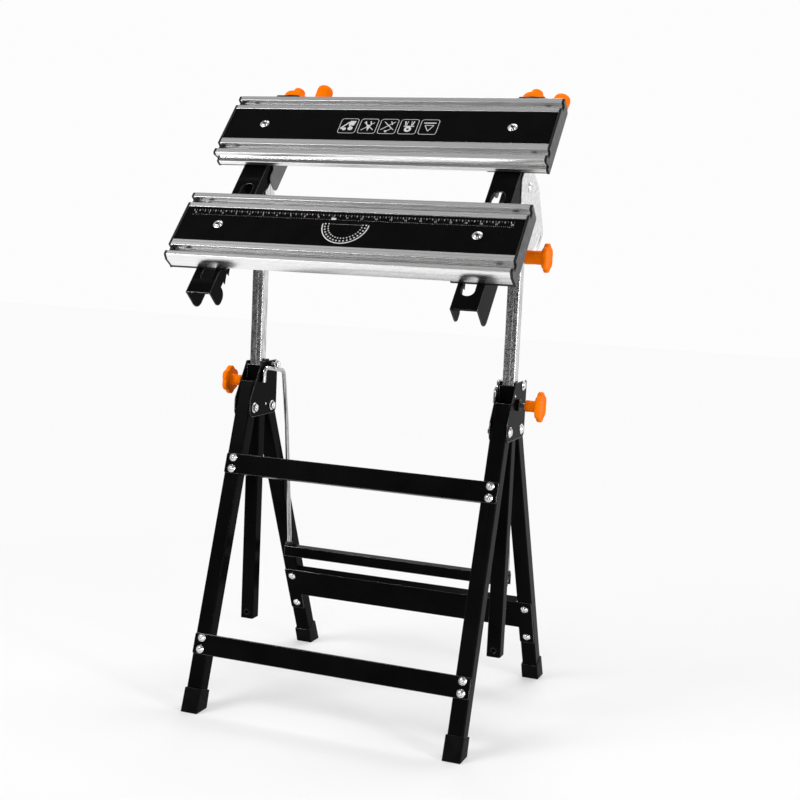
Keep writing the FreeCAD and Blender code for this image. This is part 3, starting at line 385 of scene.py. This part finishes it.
# Edge roundings in mm, by a part of the node's name
EDGES = {"head_bracket": 0.5, "crossbar": 0.5, "lock_bar": 0.5, "beam": 0.6, "tilt_plate": 0.6,
         "rail": 0.5, "bolts": 0.6, "nuts": 0.6, "end_caps": 0.8, "panel": 0.6, "foot": 1.2,
         "crank": 1.6, "pawls": 0.5, "bearings": 0.5, "base": 0.6, "collar": 0.8, "screw": 0.5}
OTHER_EDGES = 0.7


def first_match(table, name, otherwise):
    """The value of the first key that is a part of the name."""
    return next((value for key, value in table.items() if key in name), otherwise)


for part in frame["record"]["subparts"]:
    node = part["node"]
    dress(node, first_match(OWN_LOOKS, node, LOOKS[part["material_slot"]]),
          first_match(EDGES, node, OTHER_EDGES) * MM)


# Details, placed in mm

# The tilt pivot, down the slope from the rear jaw's rear edge and below the jaws
PIVOT_LEAD = 123.5
PIVOT_DEPTH = 85.1
# The panels below the jaws' tops, the jaws' starts down the slope and the panel screws
PANEL_DEPTH = 1.5
REAR_JAW = 0
FRONT_JAW = 241
SCREW_ACROSS = 228
SCREW_ALONG = 69.5
BOLT_RADIUS = 4


def top_point(across, along, depth):
    """A point of the top: across, down the slope from its rear edge and below the jaws."""
    return (TILT_PIVOT + ACROSS * across * MM - DOWN_SLOPE * (PIVOT_LEAD - along) * MM
            + JAW_UP * (PIVOT_DEPTH - depth) * MM)


def add_piece(name, bm, look, body, smooth=True):
    mesh = bpy.data.meshes.new(name)
    bmesh.ops.recalc_face_normals(bm, faces=bm.faces)
    bm.to_mesh(mesh)
    bm.free()
    mesh.polygons.foreach_set("use_smooth", [smooth] * len(mesh.polygons))
    mesh.materials.append(look)
    piece = bpy.data.objects.new(name, mesh)
    bpy.context.scene.collection.objects.link(piece)
    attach(piece, body)
    return piece


def side_axes(axis):
    """Two unit vectors across an axis, the first as near to +Y as it can be."""
    axis = axis.normalized()
    guide = Vector((0, 1, 0)) if abs(axis.y) < 0.9 else Vector((1, 0, 0))
    first = (guide - axis * guide.dot(axis)).normalized()
    return first, axis.cross(first)


def turned(bm, origin, axis, profile, steps=48, lobes=0, offset=0.0):
    """Turns (distance, radius, lobe depth) rows about an axis."""
    axis = axis.normalized()
    first, second = side_axes(axis)
    rings = []
    for distance, radius, depth in profile:
        ring = []
        for step in range(steps):
            angle = math.tau * step / steps + offset
            crest = (0.5 - 0.5 * math.cos(lobes * angle)) ** 0.75 if lobes else 1
            reach = radius * (1 - depth * (1 - crest))
            spot = first * math.cos(angle) * reach + second * math.sin(angle) * reach
            ring.append(bm.verts.new(origin + (axis * distance + spot) * MM))
        rings.append(ring)
    for low, high in zip(rings, rings[1:]):
        for step in range(steps):
            after = (step + 1) % steps
            bm.faces.new((low[step], low[after], high[after], high[step]))
    bm.faces.new(rings[0])
    bm.faces.new(rings[-1])


def plain(rows):
    return [(distance, radius, 0) for distance, radius in rows]


def screw_profile(length, radius):
    """Ridges of a screw thread."""
    pitch = 1.25
    rows = [(0, radius * 0.8)]
    for index in range(int(length / pitch)):
        start = index * pitch
        rows += [(start + pitch * 0.25, radius * 0.84), (start + pitch * 0.7, radius)]
    return plain(rows + [(length, radius * 0.8)])


def rounded_steps(shares):
    """The sine and the cosine of each share of a quarter turn."""
    return [(math.sin(share * math.pi / 2), math.cos(share * math.pi / 2)) for share in shares]


KNOB_LOBES = 6
KNOB_STEPS = 144


def add_lobed_knob(kind, side, screw_length, hub, head):
    """A moulded knob: a waisted hub and a thin lobed head with a dished face, with its screw."""
    node, body = f"{kind}_knob_{side}", f"{kind}_clamp_{side}"
    joint = JOINTS[f"{kind}_knob_turn_{side}"]
    axis = Vector(joint["axis"]).normalized()
    low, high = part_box(node)
    outer = max(abs(low.x), abs(high.x))
    hub_radius, at = hub
    radius, length = head
    end = at + length
    pivot = Vector(joint["pos_m"])
    origin = Vector((math.copysign(outer - end * MM, axis.x), pivot.y, pivot.z))
    rows = [(0, hub_radius - 0.8, 0), (0.8, hub_radius, 0), (at * 0.5, hub_radius * 0.96, 0),
            (at - 2, hub_radius, 0), (at - 0.5, hub_radius + 1.6, 0),
            (at - 0.1, hub_radius + 3, 0.02), (at, radius * 0.88, 0.12),
            (at + 0.4, radius * 0.96, 0.135), (at + 1.4, radius, 0.14),
            (end - 1.6, radius, 0.14), (end - 0.5, radius * 0.965, 0.135),
            (end, radius * 0.90, 0.13), (end - 0.2, radius * 0.84, 0.12),
            (end - 1.6, radius * 0.76, 0.10), (end - 2.0, radius * 0.5, 0.05),
            (end - 1.8, hub_radius * 0.6, 0), (end - 1.6, 0.6, 0)]
    bm = bmesh.new()
    turned(bm, origin, axis, rows, KNOB_STEPS, KNOB_LOBES)
    knob = add_piece(node + "_moulding", bm, LOOKS["orange_plastic"], body)
    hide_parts(node)
    bm = bmesh.new()
    turned(bm, origin - axis * screw_length * MM, axis,
           screw_profile(screw_length + 0.5, BOLT_RADIUS), 24)
    add_piece(node + "_thread", bm, LOOKS["bright_steel"], body)


# The screws' free lengths, and the radius and length of each hub and head
for side in SIDES:
    add_lobed_knob("height", side, 18.7, (10, 21), (26, 9))
    add_lobed_knob("tilt", side, 6.6, (12, 31.5), (24.5, 9))


def add_barrel_knob(side):
    """The crank's turning grip, a waisted barrel with a rounded end."""
    joint = JOINTS["crank_grip_spin_" + side]
    upward = -Vector(joint["axis"]).normalized()
    node = "crank_knob_" + side
    spots = [(vertex.co - Vector(joint["pos_m"])) / MM for vertex in nodes[node].data.vertices]
    heights = [spot.dot(upward) for spot in spots]
    start, length = min(heights), max(heights) - min(heights)
    radius = max((spot - upward * spot.dot(upward)).length for spot in spots)
    rows = [(0, radius * 0.76), (0.6, radius * 0.85), (2, radius * 0.89),
            (length * 0.4, radius * 0.94), (length * 0.7, radius)]
    for sine, cosine in rounded_steps((0.0, 0.25, 0.5, 0.75, 0.9, 1.0)):
        rows.append((length * (0.8 + 0.2 * sine), max(radius * cosine ** 0.7, 0.8)))
    bm = bmesh.new()
    turned(bm, Vector(joint["pos_m"]) + upward * start * MM, upward, plain(rows), 64)
    knob = add_piece(node + "_moulding", bm, LOOKS["orange_plastic"], "crank_grip_" + side)
    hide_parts(node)


for side in SIDES:
    add_barrel_knob(side)


# Fasteners

def solids_of(node):
    """The vertices of each separate solid of a node."""
    bm = bmesh.new()
    bm.from_mesh(nodes[node].data)
    bmesh.ops.remove_doubles(bm, verts=bm.verts, dist=WELD_GAP)
    left = set(bm.verts)
    found = []
    while left:
        batch = [left.pop()]
        group = []
        while batch:
            vertex = batch.pop()
            group.append(vertex.co.copy())
            for edge in vertex.link_edges:
                other = edge.other_vert(vertex)
                if other in left:
                    left.remove(other)
                    batch.append(other)
        found.append(group)
    bm.free()
    return found


def middle_of(points):
    low = Vector([min(point[i] for point in points) for i in range(3)])
    high = Vector([max(point[i] for point in points) for i in range(3)])
    return (low + high) / 2


def along_axis(points, axis):
    reach = [point.dot(axis) for point in points]
    return min(reach), max(reach)


def dome_rows(start, radius, height, dimple):
    """A washer, a domed head and a small dimple in its middle."""
    rows = [(start, radius + 1.6), (start + 0.7, radius + 1.6), (start + 0.8, radius)]
    for sine, cosine in rounded_steps((0.3, 0.55, 0.75, 0.9)):
        rows.append((start + 0.8 + (height - 0.8) * sine, radius * cosine ** 0.6))
    rows += [(start + height, dimple + 0.3), (start + height - 1.1, dimple),
             (start + height - 1.2, 0.3)]
    return rows


FRONT_LEAN = math.radians(-17.5)
REAR_LEAN = math.radians(25)


def add_face_bolts(node, body, lean):
    """The bolts through leaning legs and crossbars, with domed heads towards the front."""
    out = Vector((0, -math.cos(lean), -math.sin(lean)))
    head = 3.5
    bm = bmesh.new()
    for points in solids_of(node):
        low, high = along_axis(points, out)
        centre = middle_of(points)
        origin = centre + out * (low - centre.dot(out))
        length = (high - low) / MM
        rows = [(0, 2.6), (0.4, 3.0), (length - head, 3.0)]
        rows += dome_rows(length - head, 5.5, head, 1.9)
        turned(bm, origin, out, plain(rows), 36)
    piece = add_piece(node + "_turned", bm, LOOKS["bright_steel"], body)
    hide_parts(node)


add_face_bolts("front_crossbar_bolts", "front_frame", FRONT_LEAN)
add_face_bolts("rear_crossbar_bolts", "rear_frame", REAR_LEAN)

HEXAGON = 6
NUT_ROWS = plain([(0.9, 6.1), (1.5, 7.4), (5.5, 7.4), (5.7, 7.2)])
WASHER_ROWS = plain([(5.6, 8.9), (5.75, 9.2), (6.35, 9.2), (6.5, 8.9)])
NUT_ROUNDING = 0.35


def add_cross_bolts(node, body):
    """Pivot bolts along X: a domed head outside, a nut, its washer and the bolt's end inside."""
    head = 4
    heads = bmesh.new()
    nuts = bmesh.new()
    for points in solids_of(node):
        centre = middle_of(points)
        out = Vector((math.copysign(1, centre.x), 0, 0))
        low, high = along_axis(points, out)
        length = (high - low) / MM
        origin = Vector((math.copysign(low, out.x), centre.y, centre.z))
        turned(nuts, origin, out, NUT_ROWS, HEXAGON, offset=math.pi / HEXAGON)
        turned(heads, origin, out, WASHER_ROWS, 40)
        rows = [(0, 2.9), (0.8, 3.9), (6, 3.9), (7, BOLT_RADIUS), (length - head, BOLT_RADIUS)]
        rows += dome_rows(length - head, 7.5, head, 0.5)
        turned(heads, origin, out, plain(rows), 40)
    piece = add_piece(node + "_turned", heads, LOOKS["bright_steel"], body)
    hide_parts(node)
    piece = add_piece(node + "_nuts", nuts, LOOKS["bright_steel"], body, False)
    soften(piece, NUT_ROUNDING * MM)


for bolts, holder in (("front_pivot_bolts", "stand"), ("rear_pivot_bolts", "stand"),
                      ("bail_bolts", "stand"), ("tilt_pivot_bolts", "posts")):
    add_cross_bolts(bolts, holder)


# Panel screws, prints and small parts of the top

def add_panel_screws(node, body, start):
    """Domed heads on a washer, over the bolts and their clamp plates, each with a black hexagon of painted shade
    in its recess for the hexagon socket.
    """
    bm = bmesh.new()
    socket_shade = bmesh.new()
    for points in solids_of(node):
        low, high = along_axis(points, JAW_UP)
        centre = middle_of(points)
        across = math.copysign(SCREW_ACROSS, centre.x)
        seat = top_point(across, start + SCREW_ALONG, PANEL_DEPTH)
        below = (seat.dot(JAW_UP) - low) / MM
        foot = seat - JAW_UP * below * MM
        wide = [point for point in points
                if (point - foot).dot(JAW_UP) < 0.9 * below * MM
                and (point - foot - JAW_UP * (point - foot).dot(JAW_UP)).length > 10 * MM]
        rows = [(0, 3.2), (0.8, BOLT_RADIUS)]
        if wide:
            under, over = (reach / MM - foot.dot(JAW_UP) / MM
                           for reach in along_axis(wide, JAW_UP))
            rows += [(under, BOLT_RADIUS), (under, 14.6), (under + 0.3, 15), (over, 15),
                     (over, BOLT_RADIUS)]
        rows += [(below - 0.02, BOLT_RADIUS), (below, 8.1), (below + 0.3, 8.5),
                 (below + 0.9, 8.5), (below + 1.0, 8.2), (below + 1.0, 6.4),
                 (below + 1.6, 6.5), (below + 2.5, 6.0), (below + 3.2, 4.8),
                 (below + 3.4, 3.4), (below + 1.6, 3.2), (below + 1.5, 0.4)]
        turned(bm, foot, JAW_UP, plain(rows), 48)
        # A black hexagon in each head's recess: painted shade for the socket's hollow.
        turned(socket_shade, seat + JAW_UP * 1.5 * MM, JAW_UP, plain([(0, 3.3), (0.9, 3.3)]),
               HEXAGON)
    piece = add_piece(node + "_turned", bm, LOOKS["bright_steel"], body)
    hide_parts(node)
    add_piece(node + "_sockets", socket_shade, LOOKS["black_plastic"], body, False)


add_panel_screws("front_jaw_bolts", "top", FRONT_JAW)
add_panel_screws("rear_jaw_bolts", "moving_jaw", REAR_JAW)

PRINT_LIFT = 0.06


class Print:
    """Flat white shapes on a panel, drawn across and down the slope."""

    def __init__(self):
        self.bm = bmesh.new()
        self.middle = (0, 0)

    def corner(self, x, s):
        return self.bm.verts.new(top_point(self.middle[0] + x, self.middle[1] + s,
                                           PANEL_DEPTH - PRINT_LIFT))

    def shape(self, corners):
        self.bm.faces.new([self.corner(x, s) for x, s in corners])

    def bar(self, x, s, width, height):
        self.shape([(x - width / 2, s), (x + width / 2, s), (x + width / 2, s + height),
                    (x - width / 2, s + height)])

    def line(self, start, end, width):
        (x, s), (far_x, far_s) = start, end
        length = math.hypot(far_x - x, far_s - s)
        dx, ds = -(far_s - s) / length * width / 2, (far_x - x) / length * width / 2
        self.shape([(x - dx, s - ds), (far_x - dx, far_s - ds), (far_x + dx, far_s + ds),
                    (x + dx, s + ds)])

    def arc(self, x, s, radius, width, start, end, steps):
        for index in range(steps):
            one, two = (math.radians(start + (end - start) * (index + more) / steps)
                        for more in (0, 1))
            self.shape([(x + reach * math.cos(angle), s + reach * math.sin(angle))
                        for reach, angle in ((radius - width, one), (radius, one), (radius, two),
                                             (radius - width, two))])

    def ring(self, x, s, radius, width, steps):
        self.arc(x, s, radius, width, 0, 360, steps)

    def box(self, x, s, width, height, corner, line):
        """A rounded box in outline."""
        for cx, cs, start in ((x + width - corner, s + height - corner, 0),
                              (x + corner, s + height - corner, 90),
                              (x + corner, s + corner, 180), (x + width - corner, s + corner, 270)):
            self.arc(cx, cs, corner, line, start, start + 90, 8)
        for far in (s + line / 2, s + height - line / 2):
            self.line((x + corner, far), (x + width - corner, far), line)
        for far in (x + line / 2, x + width - line / 2):
            self.line((far, s + corner), (far, s + height - corner), line)

    def number(self, value, x, s, height):
        """A number with its middle at x and its top edge at s."""
        curve = bpy.data.curves.new("number", "FONT")
        curve.body = str(value)
        curve.align_x = "CENTER"
        curve.size = height * 1.35
        item = bpy.data.objects.new("number", curve)
        mesh = bpy.data.meshes.new_from_object(item)
        corners = [self.corner(x + vertex.co.x, s + height - vertex.co.y)
                   for vertex in mesh.vertices]
        for face in mesh.polygons:
            self.bm.faces.new([corners[index] for index in face.vertices])
        bpy.data.objects.remove(item)
        bpy.data.curves.remove(curve)
        bpy.data.meshes.remove(mesh)

    def add(self, name, body):
        for face in self.bm.faces:
            face.normal_update()
            if face.normal.dot(JAW_UP) < 0:
                face.normal_flip()
        mesh = bpy.data.meshes.new(name)
        self.bm.to_mesh(mesh)
        self.bm.free()
        mesh.materials.append(PRINT)
        piece = bpy.data.objects.new(name, mesh)
        bpy.context.scene.collection.objects.link(piece)
        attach(piece, body)


INCH = 25.4
INCH_PARTS = 8
HALF_CENTIMETRE = 5
RULER_HALF = 284
RULER_EDGE = 278.5
RULER_BLOCK = (-23.6, 285.9, 8.4, 4.0)


def add_ruler():
    """A centimetre scale, inch numbers under it and a fine dotted inch scale along the bottom."""
    marks = Print()
    marks.bar(*RULER_BLOCK)
    marks.middle = (-RULER_HALF, RULER_EDGE)
    for index in range(int(2 * RULER_HALF / HALF_CENTIMETRE) + 1):
        width, length = (0.4, 1.8) if index % 2 else (0.9, 3.6)
        marks.bar(index * HALF_CENTIMETRE, 0, width, length)
    for index in range(int(2 * RULER_HALF / INCH) + 1):
        marks.number(index, 4 + index * INCH, 4.4, 3.6)
    for index in range(int(2 * RULER_HALF / INCH * INCH_PARTS) + 1):
        marks.bar(index * INCH / INCH_PARTS, 10.6, 0.45, 0.9 if index % INCH_PARTS else 1.8)
    marks.add("ruler_print", "top")


PROTRACTOR_MIDDLE = (1.5, 299)


def add_protractor():
    """A half circle of degrees: an arc, two rings of dots and a faint base line."""
    marks = Print()
    marks.middle = PROTRACTOR_MIDDLE
    marks.arc(0, 0, 41.5, 1.9, 0, 180, 72)
    for degrees in range(0, 181, 10):
        angle = math.radians(degrees)
        for radius, length, width in ((35.8, 2.6, 2.5), (29.9, 2.2, 2.0)):
            near, far = radius - length / 2, radius + length / 2
            marks.line((near * math.cos(angle), near * math.sin(angle)),
                       (far * math.cos(angle), far * math.sin(angle)), width)
    marks.line((-28, 0), (28, 0), 0.25)
    marks.add("protractor_print", "top")


def draw_board_on_rounds(marks):
    marks.shape([(1, -12), (12, -12), (10, -1), (0, -1)])
    marks.line((-13, 6), (0, -9), 2.6)
    marks.line((0, -9), (4, 3), 2.2)
    marks.ring(5, 6, 4.6, 4.5, 24)
    marks.ring(-6, 7.5, 3.6, 3.5, 24)
    marks.bar(-11, 4, 5, 4)


def draw_crossed_bars(marks):
    marks.line((-11, 10), (10, -9), 1.5)
    marks.line((-9, -9), (11, 9), 1.5)
    marks.line((2, -12), (5, -3), 2.2)
    marks.line((-7, -12), (-4, -4), 2.2)
    marks.shape([(-4, -3), (5, -3), (1, 12)])


def draw_crossed_lever(marks):
    marks.line((-12, 8), (11, -11), 1.5)
    marks.line((-9, -11), (11, 8), 1.5)
    marks.line((3, -12), (7, -4), 1.8)
    marks.arc(-3, 0, 11, 1.3, 20, 100, 16)
    marks.ring(-2, 12, 2.2, 2.1, 16)


def draw_wheel_and_jaws(marks):
    for lean in (-1, 1):
        marks.line((lean * 8, -13), (lean * 6, -3), 2.2)
        marks.line((lean * 3.4, -13), (lean * 4.4, -3), 1.2)
    marks.line((-9, -1), (10, -1), 2.0)
    marks.ring(0, 6, 6.4, 4.0, 32)


def draw_bar_and_triangle(marks):
    marks.line((-11, -9.5), (11, -9.5), 2.4)
    tips = ((-8, -4), (8, -4), (0, 10))
    for start, end in zip(tips, tips[1:] + tips[:1]):
        marks.line(start, end, 1.3)


SIGN_WIDTH = 33.0
SIGN_HEIGHT = 36.0
SIGN_PITCH = 37.0
FIRST_SIGN = (-66.7, 71.0)


def add_signs():
    """Five framed signs with plain pictures of holding work."""
    marks = Print()
    for index, draw in enumerate((draw_board_on_rounds, draw_crossed_bars, draw_crossed_lever,
                                  draw_wheel_and_jaws, draw_bar_and_triangle)):
        marks.middle = (FIRST_SIGN[0] + index * SIGN_PITCH, FIRST_SIGN[1])
        marks.box(-SIGN_WIDTH / 2, -SIGN_HEIGHT / 2, SIGN_WIDTH, SIGN_HEIGHT, 5, 0.95)
        draw(marks)
    marks.add("sign_print", "moving_jaw")


add_ruler()
add_protractor()
add_signs()


# The dark discs on the floors of the rail grooves, painted shade for the holes there: across, down each jaw's
# slope and below its top
GROOVE_ACROSS = 272
GROOVE_ALONG = (16, 126)
GROOVE_DEPTH = 16
GROOVE_ROWS = plain([(0, 5.2), (1.4, 5.2), (2.6, 3.4), (2.6, 1.2)])


def add_groove_screws(start, body, label):
    """Dark discs on the floors of the rail grooves: painted shade standing in for the holes there."""
    bm = bmesh.new()
    for sign in SIDES.values():
        for along in GROOVE_ALONG:
            origin = top_point(sign * GROOVE_ACROSS, start + along, GROOVE_DEPTH)
            turned(bm, origin, JAW_UP, GROOVE_ROWS, 24)
    # Black plastic discs: painted shade for the holes in the grooves.
    add_piece(label + "_groove_screws", bm, LOOKS["black_plastic"], body)


add_groove_screws(FRONT_JAW, "top", "front_jaw")
add_groove_screws(REAR_JAW, "moving_jaw", "rear_jaw")


# The rivets of each bracket plate: its face, the way it looks, their height and their places
RIVETS = ((256.1, 1, 1, ((-19, 575), (22, 520))),
          (223.9, -1, 0.3, ((6, 519),)))
NUB = (-224.8, 8, 597.5)


def stand_point(x, y, z):
    """A point of the stand, with y from the middle of its centre tubes."""
    return Vector((x * MM, STAND_Y + y * MM, z * MM))


def add_rivets():
    """Small rivets on the bracket plates and the nub on the left inner plate."""
    bm = bmesh.new()
    for sign in SIDES.values():
        for face, way, rise, places in RIVETS:
            rows = plain([(-0.3, 2.4), (0.1 * rise, 2.4), (0.8 * rise, 1.9), (1.1 * rise, 0.9)])
            for y, z in places:
                turned(bm, stand_point(sign * face, y, z), ACROSS * sign * way, rows, 20)
    add_piece("bracket_rivets", bm, LOOKS["bright_steel"], "stand")
    bm = bmesh.new()
    turned(bm, stand_point(*NUB), UPWARD, plain([(0, 3.6), (3.2, 3.6), (4.0, 3.0)]), 24)
    add_piece("bracket_nub", bm, LOOKS["black_plastic"], "stand")


add_rivets()

POST_ACROSS = 240
SEAM_ASIDE = 1.5
SEAM_STEPS = 240
SEAM_MARGIN = 0.001


def add_post_seams():
    """The weld seam that runs up the front face of each post, a slightly wavy bead."""
    for side, sign in SIDES.items():
        low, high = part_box("post_" + side)
        bm = bmesh.new()
        rows = []
        for index in range(SEAM_STEPS + 1):
            share = index / SEAM_STEPS
            z = low.z + SEAM_MARGIN + (high.z - low.z - 2 * SEAM_MARGIN) * share
            wave = 0.35 * math.sin(index * 0.9) + 0.25 * math.sin(index * 0.37 + 1)
            half = 0.9 + 0.25 * math.sin(index * 1.7)
            x = sign * POST_ACROSS + SEAM_ASIDE + wave
            section = ((-half, 0.05), (-half * 0.5, -0.22), (half * 0.5, -0.22), (half, 0.05))
            rows.append([bm.verts.new(((x + reach) * MM, low.y + rise * MM, z))
                         for reach, rise in section])
        for one, two in zip(rows, rows[1:]):
            for index in range(len(one) - 1):
                bm.faces.new((one[index], one[index + 1], two[index + 1], two[index]))
        add_piece(f"post_{side}_seam", bm, LOOKS["galvanised"], "posts")


add_post_seams()


# Staging

def aim(item, target):
    item.rotation_mode = "QUATERNION"
    item.rotation_quaternion = (Vector(target) - item.location).to_track_quat("-Z", "Y")


# Place, target, size and power of each lamp
LAMPS = {"key": ((-1.9, -2.3, 2.6), (0, 0, 0.7), (1.6, 1.6), 75),
         "fill": ((2.8, -1.15, 0.8), (0, 0, 0.6), (0.4, 2.0), 45),
         "top": ((0.3, 1.7, 2.9), (0, 0, 0.6), (2.4, 1.2), 50),
         "strip": ((0.3, -2.9, 0.9), (0, 0, 0.6), (0.5, 2.2), 12)}


def make_lamps():
    for name, (place, target, size, power) in LAMPS.items():
        lamp = bpy.data.lights.new(name, "AREA")
        lamp.shape = "RECTANGLE"
        lamp.size, lamp.size_y = size
        lamp.energy = power
        item = bpy.data.objects.new(name, lamp)
        bpy.context.scene.collection.objects.link(item)
        item.location = place
        aim(item, target)


FLOOR_REACH = 9
FLOOR_FRONT = -1.3
PALE = 0.96


def make_floor():
    """A pale floor that fades into the backdrop away from the object."""
    mesh = bpy.data.meshes.new("floor")
    mesh.from_pydata([(-FLOOR_REACH, FLOOR_FRONT, 0), (FLOOR_REACH, FLOOR_FRONT, 0),
                      (FLOOR_REACH, FLOOR_REACH, 0), (-FLOOR_REACH, FLOOR_REACH, 0)],
                     [], [(0, 1, 2, 3)])
    floor = bpy.data.objects.new("floor", mesh)
    bpy.context.scene.collection.objects.link(floor)
    shader = Shader("floor")
    shader.set(Base_Color=rgba(grey(0.80)), Roughness=0.7, Specular_IOR_Level=0.1)
    length = shader.add("ShaderNodeVectorMath", {"operation": "LENGTH"})
    shader.put(length.inputs[0], shader.position())
    far = shader.span(length.outputs["Value"], 0.35, 1, 0.35, 1.5)
    path = shader.add("ShaderNodeLightPath")
    glow = shader.add("ShaderNodeEmission", Color=rgba(grey(PALE)), Strength=1.0)
    either = shader.maths("MAXIMUM", path.outputs["Is Camera Ray"], path.outputs["Is Glossy Ray"])
    surface = shader.mix_shaders(shader.maths("MULTIPLY", far, either),
                                 shader.main.outputs["BSDF"], glow.outputs["Emission"])
    shader.put(shader.tree.nodes["Material Output"].inputs["Surface"], surface)
    mesh.materials.append(shader.material)


def make_world():
    """White where it is seen, dark overhead and in front where it is mirrored, grey as a light."""
    world = bpy.data.worlds.new("studio")
    bpy.context.scene.world = world
    world.use_nodes = True
    world.node_tree.nodes.clear()
    sky = Tree(world.node_tree)
    coordinates = sky.add("ShaderNodeTexCoord")
    way = sky.add("ShaderNodeSeparateXYZ", Vector=coordinates.outputs["Generated"])
    lift = sky.span(way.outputs["Z"], 0, 1, -1, 1)
    glow = sky.ramp(lift, [(0.45, grey(0.35)), (0.9, grey(0.80))])
    lighting = sky.add("ShaderNodeBackground", Color=glow, Strength=0.75)
    room = sky.add("ShaderNodeVectorMath", {"operation": "SCALE"},
                   Scale=sky.span(way.outputs["Y"], 1, 0.07, -0.25, -0.75))
    sky.put(room.inputs[0], sky.ramp(lift, [(0.70, grey(PALE)), (0.90, grey(0.33))]))
    path = sky.add("ShaderNodeLightPath")
    camera = path.outputs["Is Camera Ray"]
    backdrop = sky.blend(camera, room.outputs["Vector"], rgba(grey(0.98)))
    seen = sky.add("ShaderNodeBackground", Color=backdrop, Strength=1.0)
    white = sky.maths("MAXIMUM", camera, path.outputs["Is Glossy Ray"])
    white = sky.maths("MAXIMUM", white, path.outputs["Is Transmission Ray"])
    surface = sky.mix_shaders(white, lighting.outputs["Background"], seen.outputs["Background"])
    sky.add("ShaderNodeOutputWorld", Surface=surface)


CAMERA_PLACE = (0.8764, -2.2298, 0.8358)
CAMERA_ANGLES = (20.72, 6.93, 2.61)
LENS = 60.8
SENSOR = 36


def make_camera():
    """The photograph's camera, turned to the left, dipped and rolled a little."""
    turn, dip, roll = (math.radians(angle) for angle in CAMERA_ANGLES)
    ahead = Vector((-math.sin(turn) * math.cos(dip), math.cos(turn) * math.cos(dip),
                    -math.sin(dip)))
    right = Vector((math.cos(turn), math.sin(turn), 0))
    up = right.cross(ahead)
    across = right * math.cos(roll) + up * math.sin(roll)
    rise = up * math.cos(roll) - right * math.sin(roll)
    lens = bpy.data.cameras.new("camera")
    lens.lens = LENS
    lens.sensor_width = SENSOR
    camera = bpy.data.objects.new("camera", lens)
    bpy.context.scene.collection.objects.link(camera)
    pose = Matrix((across, rise, -ahead)).transposed().to_4x4()
    camera.matrix_world = Matrix.Translation(CAMERA_PLACE) @ pose
    bpy.context.scene.camera = camera


make_floor()
make_world()
make_camera()
make_lamps()
bpy.context.scene.view_settings.view_transform = "Standard"
